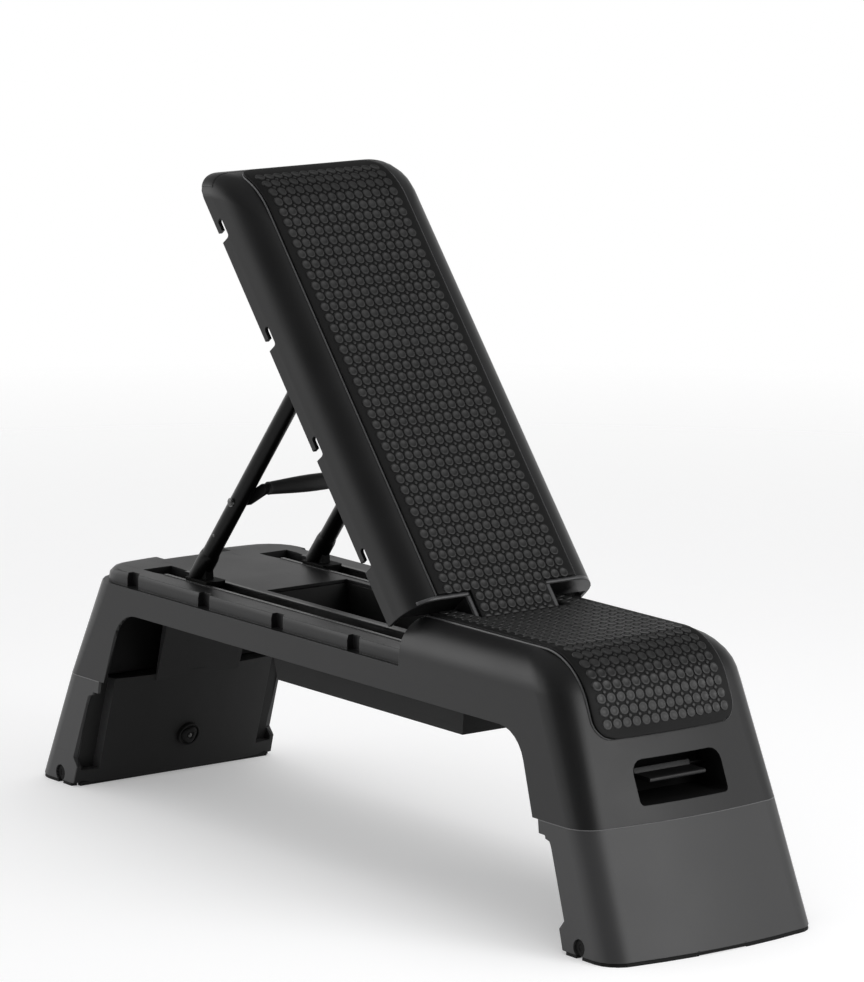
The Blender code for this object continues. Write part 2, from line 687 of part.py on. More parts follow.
def roll_path(start, radius, end_height, lift, draw):
    """(x, z) stations of a mat from its straight start over the rolled edge down to its end."""
    slant = math.hypot(1, END_LEAN)
    centre_z = SHELL_TOP - radius
    centre_x = end_line(centre_z) - radius * slant - draw
    lean = math.degrees(math.atan(END_LEAN))
    path = [(start, SHELL_TOP + lift)]
    stations = arc((centre_x, centre_z), radius + lift, 90, lean, 9)
    path += [(start + (stations[0][0] - start) * share, SHELL_TOP + lift) for share in (0.33, 0.67)]
    path += [point for point in stations if point[1] > end_height]
    drop = min(path[-1][1] - end_height, MAT_CORNER_RADIUS / slant)
    for share in (0.0, 0.3, 0.6, 0.85, 1.0):
        height = end_height + drop * (1 - share)
        if height < path[-1][1] - MM:
            path.append((end_reach(height, radius, -lift) - draw, height))
    return path


def mat_sheet(start, radius, end_height, sign, bow=0.0, draw=0.0):
    """A sheet that lies on the shell, with its lower corners rounded."""
    low = roll_path(start, radius, end_height, GAP, draw)
    high = roll_path(start, radius, end_height, MAT_THICKNESS, draw)
    run = np.cumsum([0] + [math.dist(a, b) for a, b in zip(low, low[1:])])
    columns = 8
    points = []
    for path in (low, high):
        for (x, z), place in zip(path, run):
            left = max(MAT_CORNER_RADIUS - (run[-1] - place), 0.0)
            rounded = math.sqrt(max(MAT_CORNER_RADIUS**2 - left**2, 0.0))
            half = MAT_HALF_WIDTH - MAT_CORNER_RADIUS + rounded
            for y in np.linspace(-half, half, columns + 1):
                points.append((sign * (x - bow * y * y * (x > start)), y, z))
    rows = len(low)
    width = columns + 1
    layer = rows * width
    faces = []
    for i in range(rows - 1):
        for j in range(columns):
            a = i * width + j
            faces.append((a, a + 1, a + width + 1, a + width))
            faces.append((a + layer, a + layer + width, a + layer + width + 1, a + layer + 1))
    border = [j for j in range(width)]
    border += [i * width + columns for i in range(1, rows)]
    border += [(rows - 1) * width + j for j in range(columns - 1, -1, -1)]
    border += [i * width for i in range(rows - 2, 0, -1)]
    for a, b in zip(border, border[1:] + border[:1]):
        faces.append((a, b, b + layer, a + layer))
    return points, faces


def build_seat_mat(finish):
    start = SEAT_REAR + SEAT_MAT_SETBACK
    shape = mat_sheet(start, SEAT_EDGE_RADIUS, SEAT_MAT_END_HEIGHT, 1, bow=END_BOW)
    mat = solid("seat_mat", shape, finish)
    recess_y = TONGUE_HALF_WIDTH + RUNNING_GAP
    high = (HINGE_PLACE + RECESS_DEPTH, recess_y, SHELL_TOP + 2 * BASE_WALL)
    cut(mat, block((0, -recess_y, RIM_HEIGHT), high))
    return mat


# Backrest, modelled flat about its hinge


def flat(shape):
    """From the bench's frame, with the backrest lying flat, to the hinge's frame."""
    return moved(shape, (HINGE_PLACE, 0, HINGE_HEIGHT))


def hook_cuts(start, side):
    """A mouth in the skirt's edge and a slot that turns from it behind a round nose."""
    mouth_end = start + HOOK_LENGTH
    mouth = mouth_end - HOOK_MOUTH
    low = LEDGE_HEIGHT - BASE_WALL
    top = LEDGE_HEIGHT + HOOK_DEPTH
    depth = 3 * BACKREST_WALL
    outer = side_line(LEDGE_HEIGHT) + BASE_WALL
    ends = sorted((side * (outer - depth), side * outer))
    slot_low = top - HOOK_SLOT
    profile = [(mouth_end, low), (mouth_end, top - HOOK_SLOT / 2)]
    profile += arc((mouth_end - HOOK_SLOT / 2, top - HOOK_SLOT / 2), HOOK_SLOT / 2, 0, 90, 3)[1:]
    profile += arc((start + HOOK_SLOT / 2, top - HOOK_SLOT / 2), HOOK_SLOT / 2, 90, 270, 6)
    profile += [(mouth, slot_low), (mouth, low)]
    return along_y(profile, *ends)


def tongue():
    """The tongue and its knuckle round the hinge."""
    low = HINGE_HEIGHT - KNUCKLE_RADIUS
    start = BACKREST_FRONT - 3 * BACKREST_WALL
    profile = [(start, low), (HINGE_PLACE, low)]
    profile += arc((HINGE_PLACE, HINGE_HEIGHT), KNUCKLE_RADIUS, -60, 90, 8)
    profile += [(HINGE_PLACE, SHELL_TOP - 0.5 * MM), (start, SHELL_TOP - 0.5 * MM)]
    return along_y(profile, -TONGUE_HALF_WIDTH, TONGUE_HALF_WIDTH)


def build_backrest(finish, mat_finish, steel, hinge):
    outside = hull(LEDGE_HEIGHT - 2 * BASE_WALL, 0.0, backrest_ring)
    shell = solid("backrest_shell", flat(outside), finish, hinge)
    beyond = far_box(BACKREST_FRONT, FLOOR_LENGTH, 0, SHELL_TOP + BASE_WALL)
    under = far_box(-FLOOR_LENGTH, FLOOR_LENGTH, 0, LEDGE_HEIGHT + CLOSED_GAP)
    cut(shell, flat(beyond), flat(under))
    inner = BACKREST_FRONT - BACKREST_WALL
    inside = hull(LEDGE_HEIGHT - 4 * BASE_WALL, BACKREST_WALL, backrest_ring)
    hollow = solid("backrest_hollow", flat(inside), parent=hinge)
    cut(hollow, flat(far_box(inner, FLOOR_LENGTH, 0, SHELL_TOP + BASE_WALL)))
    cut(shell, hollow)
    half = side_line(LEDGE_HEIGHT) - BACKREST_WALL
    sill = block((0, -half, 0), (FLOOR_LENGTH, half, RIM_HEIGHT + 2 * RUNNING_GAP))
    cut(shell, flat(sill), flat(rim_block(CLOSED_GAP)))
    join(shell, flat(tongue()))
    low = HINGE_HEIGHT - 2 * KNUCKLE_RADIUS
    side = TONGUE_HALF_WIDTH - BACKREST_WALL
    front = HINGE_PLACE - KNUCKLE_RADIUS - RUNNING_GAP
    low = (inner - 4 * BACKREST_WALL, -side, low)
    cut(shell, flat(block(low, (front, side, SHELL_TOP - BACKREST_WALL))))
    reach = TONGUE_HALF_WIDTH + RUNNING_GAP
    cut(shell, flat(rod(HINGE_PLACE, HINGE_HEIGHT, HINGE_ROD_RADIUS + GAP, -reach, reach)))

    # cross ribs, one long rib and the brackets for the struts
    rib_top = SHELL_TOP - BACKREST_WALL / 2
    rib_low = SHELL_TOP - BACKREST_WALL - BACKREST_RIB_DEPTH
    rib_half = RAIL_OFFSET - STRUT_RADIUS - BRACKET_THICKNESS - 2 * RUNNING_GAP
    for x in np.linspace(BACKREST_RIB_START, inner - 8 * BACKREST_WALL, BACKREST_RIB_COUNT):
        join(shell, flat(block((x, -rib_half, rib_low), (x + BACKREST_RIB_WIDTH, rib_half, rib_top))))
    spine_low = SHELL_TOP - BACKREST_WALL - BACKREST_SPINE_DEPTH
    low = (BACKREST_RIB_START - MM, -BACKREST_RIB_WIDTH / 2, spine_low)
    join(shell, flat(block(low, (inner - 7 * BACKREST_WALL, BACKREST_RIB_WIDTH / 2, rib_top))))
    pivot = HINGE_PLACE - STRUT_LENGTH
    drop = arc((pivot, HINGE_HEIGHT), BRACKET_RADIUS, 180, 360, 8)
    profile = drop + [(pivot + BRACKET_RADIUS, rib_top), (pivot - BRACKET_RADIUS, rib_top)]
    inner_face = STRUT_RADIUS + RUNNING_GAP
    for label, side in SIDES:
        for face in (-inner_face - BRACKET_THICKNESS, inner_face):
            start = side * RAIL_OFFSET + face
            join(shell, flat(along_y(profile, start, start + BRACKET_THICKNESS)))
        reach = inner_face + BRACKET_THICKNESS
        ends = (side * RAIL_OFFSET - reach - MM, side * RAIL_OFFSET + reach + MM)
        cut(shell, flat(rod(pivot, HINGE_HEIGHT, STRUT_PIN_RADIUS + GAP, *ends)))
        ends = (side * RAIL_OFFSET - reach, side * RAIL_OFFSET + reach)
        solid(f"strut_pin_{label}", flat(rod(pivot, HINGE_HEIGHT, STRUT_PIN_RADIUS, *ends)), steel, hinge)
        for start in row_of_starts(HOOK_FIRST, HOOK_PITCH):
            cut(shell, flat(hook_cuts(start, side)))

    end_height = BACKREST_MAT_END_HEIGHT
    sheet = mat_sheet(GAP - BACKREST_FRONT, BACKREST_EDGE_RADIUS, end_height, -1, draw=BACKREST_END_DRAW)
    mat = solid("backrest_mat", flat(sheet), mat_finish, hinge)
    start = BACKREST_FRONT - BACKREST_WALL
    wrap = arc((HINGE_PLACE, HINGE_HEIGHT), KNUCKLE_RADIUS + MAT_THICKNESS, 90, 20, 5)
    wrap += arc((HINGE_PLACE, HINGE_HEIGHT), KNUCKLE_RADIUS + GAP, 20, 90, 5)
    top = HINGE_HEIGHT + KNUCKLE_RADIUS + MAT_THICKNESS
    profile = [(start, top)] + wrap + [(start, SHELL_TOP + GAP)]
    join(mat, flat(along_y(profile, -MAT_TONGUE_HALF_WIDTH, MAT_TONGUE_HALF_WIDTH)))


# Strut frame, handle and shoes, each in its own axis' frame


def along_strut(radius, start, end, side, steps=20):
    """A round bar down the strut, from a start to an end measured from its upper pivot."""
    ring = [(y + side * RAIL_OFFSET, z) for y, z in circle((0, 0), radius, steps)]
    return along_x(ring, -end, -start)


def build_struts(tube_finish, steel, frame):
    rivet = -(STRUT_LENGTH - HANDLE_RIVET_PLACE)
    eye_width = STRUT_RADIUS - GAP
    tube_start = STRUT_EYE_RADIUS + 3 * MM
    for label, side in SIDES:
        middle = side * RAIL_OFFSET
        tube = solid(
            f"strut_tube_{label}",
            along_strut(STRUT_RADIUS, tube_start, STRUT_LENGTH + STRUT_FOOT_REACH, side, 24),
            tube_finish,
            frame,
        )
        cut(tube, along_strut(STRUT_BORE, 0, STRUT_LENGTH + 2 * STRUT_RADIUS, side, 24))
        slot_end = -(STRUT_LENGTH - 1.5 * STRUT_RADIUS)
        low = (-(STRUT_LENGTH + 2 * STRUT_RADIUS), middle - STRUT_SLOT / 2, -2 * STRUT_RADIUS)
        cut(tube, block(low, (slot_end, middle + STRUT_SLOT / 2, 2 * STRUT_RADIUS)))
        ends = (middle - 2 * STRUT_RADIUS, middle + 2 * STRUT_RADIUS)
        cut(tube, rod(-STRUT_LENGTH, 0, SHOE_PIN_RADIUS + GAP, *ends, 16))
        cut(tube, rod(rivet, 0, RIVET_RADIUS + GAP, *ends, 16))

        eye = solid(
            f"strut_eye_{label}",
            along_strut(STRUT_BORE - GAP, 0, tube_start + 2 * STRUT_RADIUS, side),
            steel,
            frame,
        )
        join(eye, rod(0, 0, STRUT_EYE_RADIUS, middle - eye_width, middle + eye_width))
        cut(eye, rod(0, 0, STRUT_PIN_RADIUS + GAP, *ends))

        reach = STRUT_RADIUS - GAP
        pin = rod(-STRUT_LENGTH, 0, SHOE_PIN_RADIUS, middle - reach, middle + reach, 16)
        solid(f"shoe_pin_{label}", pin, steel, frame)

        inner = side * (RAIL_OFFSET - STRUT_RADIUS - GAP - HANDLE_ARM_THICKNESS)
        outer = side * (RAIL_OFFSET + STRUT_RADIUS + GAP)
        stem = rod(rivet, 0, RIVET_RADIUS, *sorted((inner, outer)), 16)
        pull_rivet = solid(f"handle_rivet_{label}", stem, steel, frame)
        head = sorted((outer - side * GAP / 2, outer + side * 1.5 * MM))
        join(pull_rivet, rod(rivet, 0, 1.8 * RIVET_RADIUS, *head, 16))


def build_handle(plastic, grip_finish, handle):
    run = HANDLE_GRIP_PLACE - HANDLE_RIVET_PLACE
    arm_outer = RAIL_OFFSET - STRUT_RADIUS - GAP
    arm_inner = arm_outer - HANDLE_ARM_THICKNESS
    half = HANDLE_ARM_WIDTH / 2
    turn = math.degrees(math.atan2(-HANDLE_GRIP_DROP, run))
    profile = arc((0, 0), half, turn + 90, turn + 270, 6)
    profile += arc((run, -HANDLE_GRIP_DROP), half, turn - 90, turn + 90, 6)
    core = rod(run, -HANDLE_GRIP_DROP, HANDLE_CORE_RADIUS, -arm_inner - MM, arm_inner + MM, 16)
    bar = solid("handle_bar", core, plastic, handle)
    for _, side in SIDES:
        join(bar, along_y(profile, *sorted((side * arm_inner, side * arm_outer))))
        cut(bar, rod(0, 0, RIVET_RADIUS + GAP, *sorted((side * half, side * RAIL_OFFSET)), 16))

    length = arm_inner - GAP
    rings = []
    for y in np.linspace(-length, length, 9):
        swell = HANDLE_GRIP_RADIUS - HANDLE_GRIP_END_RADIUS
        radius = HANDLE_GRIP_END_RADIUS + swell * (1 - (y / length) ** 2)
        rings.append([(x, y, z) for x, z in circle((run, -HANDLE_GRIP_DROP), radius, 20)])
    grip = solid("handle_grip", loft(rings), grip_finish, handle)
    cut(grip, rod(run, -HANDLE_GRIP_DROP, HANDLE_CORE_RADIUS + GAP, -RAIL_OFFSET, RAIL_OFFSET, 16))


def build_shoes(plastic, foot):
    """Shoes whose feet run under the rail's lips, in the frame of the foot pivot."""
    lip_top = RIM_HEIGHT + RAIL_LIP_RISE - HINGE_HEIGHT
    lip_low = lip_top - RAIL_SHEET
    floor = RIM_HEIGHT - RAIL_DEPTH + RAIL_SHEET - HINGE_HEIGHT
    half = SHOE_LENGTH / 2
    flange_low = lip_top + GAP
    flange_top = flange_low + SHOE_FLANGE
    neck = RAIL_SLOT / 2 - RUNNING_GAP
    body = RAIL_WIDTH / 2 - RAIL_SHEET - RUNNING_GAP
    lug = STRUT_SLOT / 2 - GAP
    for label, side in SIDES:
        middle = side * RAIL_OFFSET
        outline = [(half - 3 * MM, -neck - 2 * MM), (half, -neck + MM)]
        outline += [(half, neck - MM), (half - 3 * MM, neck + 2 * MM)]
        outline += [(-x, y) for x, y in reversed(outline)]
        shifted = [(x, y + middle) for x, y in outline]
        shoe = solid(f"shoe_{label}", along_z(shifted, flange_low, flange_top), plastic, foot)
        low = (-half + 2 * MM, middle - neck, lip_low - 2 * MM)
        join(shoe, block(low, (half - 2 * MM, middle + neck, flange_low + MM)))
        low = (-half + 3 * MM, middle - body, floor + RUNNING_GAP)
        join(shoe, block(low, (half - 3 * MM, middle + body, lip_low - RUNNING_GAP)))
        cheek = arc((0, 0), SHOE_LUG_RADIUS, 0, 180, 8)
        cheek += [(-SHOE_LUG_RADIUS - 2 * MM, flange_top - MM), (SHOE_LUG_RADIUS + 2 * MM, flange_top - MM)]
        join(shoe, along_y(cheek, middle - lug, middle + lug))
        cut(shoe, rod(0, 0, SHOE_PIN_RADIUS + GAP, middle - body, middle + body, 16))


# Legs


def panel_line(height):
    """The leg's inner panel at a height."""
    return LEG_PANEL_TOP + LEG_PANEL_LEAN * (SEAM_HEIGHT - height)


def leg_form(bottom, top, inset, panel_inset):
    """The leg's solid wedge between its leaning panel and the end wall."""
    rings = []
    for height in (bottom, top):
        corner = CORNER_RADIUS - inset
        half_width = side_line(height) - inset
        front = end_line(height) - inset * math.hypot(1, END_LEAN)
        outline = plan(front, panel_line(height) + panel_inset, half_width, corner, MM)
        rings.append([(x, y, height) for x, y in outline])
    return loft(rings)


def pocket(side, grow):
    """The recess beside a side wall that the base's arch enters when the leg is folded."""
    inner = side * (LEG_POCKET_INNER - grow)
    outer = side * (LEG_POCKET_OUTER + grow)
    low = LEG_POCKET_FLOOR - grow
    high = SEAM_HEIGHT + 2 * LEG_WALL
    if grow:
        high = SEAM_HEIGHT + LEG_WALL
        outer = side * FULL_WIDTH
    depth = LEG_POCKET_DEPTH + grow
    profile = [(panel_line(low) - 3 * LEG_POCKET_DEPTH, low), (panel_line(low) + depth, low)]
    profile += [(panel_line(high) + depth, high), (panel_line(high) - LEG_POCKET_DEPTH, high)]
    return along_y(profile, *sorted((inner, outer)))


def side_edge_cut(side):
    """What is cut from a side wall's inner edge: a flange at the seam, then a leaning edge."""
    foot = LEG_PANEL_TOP + 43 * MM
    profile = [
        (LEG_PANEL_TOP - 3 * LEG_WALL, SEAM_HEIGHT - 15 * MM),
        (LEG_PANEL_TOP + 10 * MM, SEAM_HEIGHT - 16 * MM),
        (LEG_PANEL_TOP + 28 * MM, SEAM_HEIGHT - 20 * MM),
        (foot + 13 * MM, 35 * MM),
        (foot, 19 * MM),
        (foot, -MM),
        (LEG_PANEL_TOP - 3 * LEG_WALL, -MM),
    ]
    return along_y(profile, *sorted((side * (LEG_POCKET_OUTER - MM), side * FULL_WIDTH)))


def leg_tab():
    """The tab that carries the leg's panel up to the hinge."""
    hinge = (LEG_HINGE_PLACE, LEG_HINGE_HEIGHT)
    low = SEAM_HEIGHT - 2 * LEG_WALL
    bend = LEG_TAB_BEND
    profile = [(panel_line(low) + LEG_WALL, low), (panel_line(low) + 0.5 * MM, low)]
    profile += [(panel_line(bend), bend)]
    profile += arc(hinge, LEG_KNUCKLE_RADIUS, 135, -90, 10)
    profile += [(panel_line(bend) + 2 * LEG_WALL, hinge[1] - LEG_KNUCKLE_RADIUS)]
    return along_y(profile, -LEG_TAB_HALF_WIDTH, LEG_TAB_HALF_WIDTH)


def build_pad(label, side, start, end, placed, rubber, pivot):
    """A rubber pad under one side wall, which runs round the outer corner where it reaches it."""
    thick = 2 * LEG_WALL
    rings = []
    for height in (0.0, FOOT_PAD_HEIGHT - GAP):
        front = end_line(height) - MM
        outline = plan(front, panel_line(0) + LEG_WALL, side_line(height) - MM, CORNER_RADIUS, MM)
        rings.append([(x, y, height) for x, y in outline])
    pad = solid(f"foot_pad_{label}", placed(loft(rings)), rubber, pivot)
    front = end_line(0) - thick
    inner = plan(front, panel_line(0) - thick, side_line(0) - thick, CORNER_RADIUS - thick, MM)
    cut(pad, placed(along_z(inner, -thick, thick)))
    ends = sorted((-side * FULL_WIDTH, side * 4 * thick))
    cut(pad, placed(block((0, ends[0], -thick), (FLOOR_LENGTH, ends[1], thick))))
    cut(pad, placed(far_box(0, start, -thick, thick)))
    cut(pad, placed(far_box(end, 2 * FLOOR_LENGTH, -thick, thick)))


def build_leg(label, sign, finish, rubber, pivot):
    hinge = (sign * LEG_HINGE_PLACE, 0, LEG_HINGE_HEIGHT)

    def placed(shape):
        return moved(mirrored(shape, sign), hinge)

    top = SEAM_HEIGHT - 0.4 * MM
    leg = solid(f"leg_{label}", placed(leg_form(FOOT_PAD_HEIGHT, top, 0.0, 0.0)), finish, pivot)
    hollow = leg_form(FOOT_PAD_HEIGHT - 2 * LEG_WALL, top - LEG_WALL, LEG_WALL, LEG_WALL)
    cavity = solid(f"leg_hollow_{label}", placed(hollow), parent=pivot)
    for _, side in SIDES:
        cut(cavity, placed(pocket(side, LEG_WALL - MM)))
    cut(leg, cavity)
    for _, side in SIDES:
        cut(leg, placed(pocket(side, 0.0)), placed(side_edge_cut(side)))
    join(leg, placed(leg_tab()))
    reach = LEG_TAB_HALF_WIDTH + RUNNING_GAP
    hole = rod(LEG_HINGE_PLACE, LEG_HINGE_HEIGHT, LEG_ROD_RADIUS + GAP, -reach, reach)
    cut(leg, placed(hole))
    eye = circle((FOOT_HOLE_PLACE, FOOT_HOLE_HEIGHT), FOOT_HOLE_RADIUS, 16)
    cut(leg, placed(along_y(eye, -FULL_WIDTH, FULL_WIDTH)))

    # pads under the side walls and the outer corners
    for side_label, side in SIDES:
        slot = FOOT_HOLE_RADIUS / 2
        name = f"{label}_{side_label}"
        end = FOOT_HOLE_PLACE - slot
        build_pad(f"{name}_inner", side, panel_line(0), end, placed, rubber, pivot)
        start = FOOT_HOLE_PLACE + slot
        build_pad(f"{name}_outer", side, start, FLOOR_LENGTH, placed, rubber, pivot)

    # the round stop that meets the deck when the leg is folded
    outline = circle((0, STOP_HEIGHT), STOP_RADIUS, 20)
    rings = []
    for share, offset in ((1.0, GAP), (1.0, STOP_RISE * 0.6), (0.8, STOP_RISE)):
        ring = []
        for y, z in outline:
            height = STOP_HEIGHT + (z - STOP_HEIGHT) * share
            ring.append((panel_line(height) - offset, y * share, height))
        rings.append(ring)
    solid(f"leg_stop_{label}", placed(loft(rings)), rubber, pivot)


def build_paddle(label, sign, finish, pivot):
    """The latch paddle in a hand-hold, in the frame of its rod."""
    half = PADDLE_THICKNESS / 2
    drop = -3 * MM
    profile = arc((0, 0), PADDLE_HUB_RADIUS, 60, 300, 8)
    profile += [(PADDLE_HUB_RADIUS, drop - half), (PADDLE_REACH - half, drop - half)]
    profile += arc((PADDLE_REACH - half, drop), half, -60, 60, 4)
    profile += [(PADDLE_REACH - half, drop + half), (PADDLE_HUB_RADIUS, drop + half)]
    plate = along_y(profile, -PADDLE_HALF_WIDTH, PADDLE_HALF_WIDTH)
    paddle = solid(f"latch_paddle_{label}", mirrored(plate, sign), finish, pivot)
    bore = rod(0, 0, PADDLE_ROD_RADIUS + GAP, -HOLD_HALF_WIDTH, HOLD_HALF_WIDTH, 12)
    cut(paddle, bore)


def main():
    clear_scene()
    shell = material("charcoal_shell", (0.04, 0.04, 0.043), 0.45)
    leg = material("grey_leg", (0.1, 0.1, 0.105), 0.5)
    mat = material("studded_mat", (0.02, 0.02, 0.02), 0.7)
    tube = material("black_tube", (0.008, 0.008, 0.008), 0.2)
    rail = material("black_rail", (0.015, 0.015, 0.015), 0.3)
    rubber = material("black_rubber", (0.01, 0.01, 0.01), 0.8)
    steel = material("zinc_steel", (0.5, 0.5, 0.5), 0.3, 1.0)

    build_base(shell)
    build_deck_fittings(rail, shell, steel)
    build_seat_mat(mat)
    hinge = axis("backrest_axis", (HINGE_PLACE, 0, HINGE_HEIGHT), BACKREST_ANGLE)
    build_backrest(shell, mat, steel, hinge)
    frame = axis("strut_axis", (-STRUT_LENGTH, 0, 0), -2 * BACKREST_ANGLE, hinge)
    build_struts(tube, steel, frame)
    handle = axis("handle_axis", (-(STRUT_LENGTH - HANDLE_RIVET_PLACE), 0, 0), 0, frame)
    build_handle(rail, rubber, handle)
    foot = axis("foot_axis", (-STRUT_LENGTH, 0, 0), BACKREST_ANGLE, frame)
    build_shoes(rail, foot)
    for label, sign in ENDS:
        pivot = axis(f"leg_axis_{label}", (sign * LEG_HINGE_PLACE, 0, LEG_HINGE_HEIGHT))
        build_leg(label, sign, leg, rubber, pivot)
        pivot = axis(f"latch_axis_{label}", (sign * PADDLE_PLACE, 0, PADDLE_HEIGHT))
        build_paddle(label, sign, shell, pivot)


main()
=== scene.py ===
# %% [markdown]
# # An adjustable aerobic step
#
# The object is a long, low bench of moulded plastic. Two legs fold under its ends, and its deck
# lifts at one end to become a backrest, held up by two steel struts whose shoes run in slotted
# rails. A tray for small gear hangs in the middle of the deck.
#
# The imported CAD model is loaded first, and it stays fixed. It gives every piece its true place
# and size. The cells below give its pieces their finishes and shade the shells smooth. They
# replace the pieces whose detail is too fine for CAD, which are the mats, the grip and the stops,
# and add the smallest ones, such as screws and lips.

# %% Load the frame
import json
import math

import bmesh
import bpy
import numpy as np
from mathutils import Matrix, Vector


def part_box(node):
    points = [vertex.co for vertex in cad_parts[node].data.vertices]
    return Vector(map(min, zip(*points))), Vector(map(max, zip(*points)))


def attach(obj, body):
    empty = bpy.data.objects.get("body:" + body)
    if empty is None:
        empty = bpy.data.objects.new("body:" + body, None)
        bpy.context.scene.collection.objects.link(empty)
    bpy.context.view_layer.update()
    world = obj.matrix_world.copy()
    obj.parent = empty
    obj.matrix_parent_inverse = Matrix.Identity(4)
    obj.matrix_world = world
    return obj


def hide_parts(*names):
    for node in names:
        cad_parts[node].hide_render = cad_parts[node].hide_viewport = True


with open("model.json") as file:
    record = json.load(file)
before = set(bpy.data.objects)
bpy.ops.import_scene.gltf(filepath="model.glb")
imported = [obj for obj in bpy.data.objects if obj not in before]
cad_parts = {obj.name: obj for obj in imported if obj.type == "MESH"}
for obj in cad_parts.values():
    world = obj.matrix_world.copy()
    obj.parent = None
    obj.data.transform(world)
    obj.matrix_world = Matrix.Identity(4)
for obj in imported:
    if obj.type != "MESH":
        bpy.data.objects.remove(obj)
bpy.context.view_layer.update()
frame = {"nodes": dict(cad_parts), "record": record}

MM = 0.001
scene = bpy.context.scene
nodes = frame["nodes"]
print("CAD nodes:", len(nodes))

# %% [markdown]
# ## The camera
#
# The picture was taken from a long way off with a long lens, so the bench hardly tapers. The
# camera looks at a point in the middle of the bench. Its direction is an azimuth and an elevation,
# and a small roll levels the horizon.

# %% Camera
AZIMUTH = math.radians(52.935)
ELEVATION = math.radians(10.456)
ROLL = math.radians(0.207)
DISTANCE = 6.0882
TARGET = Vector((0.0453, 0.0, 0.4095))
FOCAL_LENGTH = 204.24
SENSOR_WIDTH = 36.0

back = Vector((
    math.sin(AZIMUTH) * math.cos(ELEVATION),
    -math.cos(AZIMUTH) * math.cos(ELEVATION),
    math.sin(ELEVATION),
))
right = Vector((math.cos(AZIMUTH), math.sin(AZIMUTH), 0.0))
up = back.cross(right)
level_right = right * math.cos(ROLL) + up * math.sin(ROLL)
level_up = up * math.cos(ROLL) - right * math.sin(ROLL)

lens = bpy.data.cameras.new("camera")
lens.lens = FOCAL_LENGTH
lens.sensor_width = SENSOR_WIDTH
lens.sensor_fit = "AUTO"
lens.clip_end = 60.0
camera = bpy.data.objects.new("camera", lens)
scene.collection.objects.link(camera)
turn = Matrix((level_right, level_up, back)).transposed()
camera.matrix_world = Matrix.Translation(TARGET + back * DISTANCE) @ turn.to_4x4()
scene.camera = camera
scene.view_settings.view_transform = "Standard"
print("camera at", [round(v, 3) for v in camera.location])

# %% [markdown]
# ## Writing a finish with nodes
#
# A finish is a small network of nodes that feeds one Principled BSDF. These helpers keep each
# network short. Every pattern reads Object coordinates. A finished piece sits unturned at the
# origin, so those are metres in the bench's own frame, and a scale of 1000 gives one feature to a
# millimetre.

# %% Helpers for finishes
def add(tree, kind, **values):
    """A node of a kind, with its properties and inputs set by name or by number (as i0, i1)."""
    made = tree.nodes.new(kind)
    for key, value in values.items():
        slot = key.replace("_", " ")
        if key[0] == "i" and key[1:].isdigit():
            target = made.inputs[int(key[1:])]
        elif slot in made.inputs:
            target = made.inputs[slot]
        else:
            setattr(made, key, value)
            continue
        if isinstance(value, bpy.types.NodeSocket):
            tree.links.new(value, target)
        else:
            target.default_value = value
    return made


def sum_of(tree, kind, first, second, third=None):
    """One step of arithmetic on two or three numbers."""
    values = {"operation": kind, "i0": first, "i1": second}
    if third is not None:
        values["i2"] = third
    return add(tree, "ShaderNodeMath", **values).outputs[0]


def stretch(tree, value, low, high, new_low, new_high):
    """A number carried from one range to another and kept inside it."""
    made = add(tree, "ShaderNodeMapRange", Value=value)
    ends = {"From Min": low, "From Max": high, "To Min": new_low, "To Max": new_high}
    for name, number in ends.items():
        made.inputs[name].default_value = number
    return made.outputs[0]


def noise(tree, place, scale, detail=2.0, roughness=0.5):
    """Cloudy noise between 0 and 1, with a number of features to the metre."""
    made = add(tree, "ShaderNodeTexNoise", Vector=place, Scale=scale, Detail=detail)
    made.inputs["Roughness"].default_value = roughness
    return made.outputs[0]


def squeezed(tree, place, stretch_by):
    """The coordinates drawn out along one axis, for marks that run one way."""
    return add(tree, "ShaderNodeMapping", Vector=place, Scale=stretch_by).outputs[0]


def blended(tree, share, first, second):
    """A colour between two colours."""
    made = add(tree, "ShaderNodeMix", data_type="RGBA")
    for number, value in ((0, share), (6, first), (7, second)):
        socket = made.inputs[number]
        if isinstance(value, bpy.types.NodeSocket):
            tree.links.new(value, socket)
        elif number == 0:
            socket.default_value = value
        else:
            socket.default_value = (*value, 1.0)
    return made.outputs[2]


def grey(level, blue=0.0):
    """A grey with a breath of blue in it."""
    return level, level, level + blue


def new_finish(name):
    """An empty finish: its node tree, its Principled BSDF and its Object coordinates."""
    made = bpy.data.materials.new(name)
    made.use_nodes = True
    tree = made.node_tree
    surface = tree.nodes["Principled BSDF"]
    place = add(tree, "ShaderNodeTexCoord").outputs["Object"]
    return made, tree, surface, place


def join_up(tree, surface, colour, roughness, shine, height, strength, depth, edge=0.0):
    """Feeds a finish its colour, roughness and shine, and a bump over eased edges."""
    tree.links.new(colour, surface.inputs["Base Color"])
    tree.links.new(roughness, surface.inputs["Roughness"])
    surface.inputs["Specular IOR Level"].default_value = shine
    bump = add(tree, "ShaderNodeBump", Strength=strength, Distance=depth, Height=height)
    if edge:
        eased = add(tree, "ShaderNodeBevel", samples=4, Radius=edge)
        tree.links.new(eased.outputs[0], bump.inputs["Normal"])
    tree.links.new(bump.outputs[0], surface.inputs["Normal"])
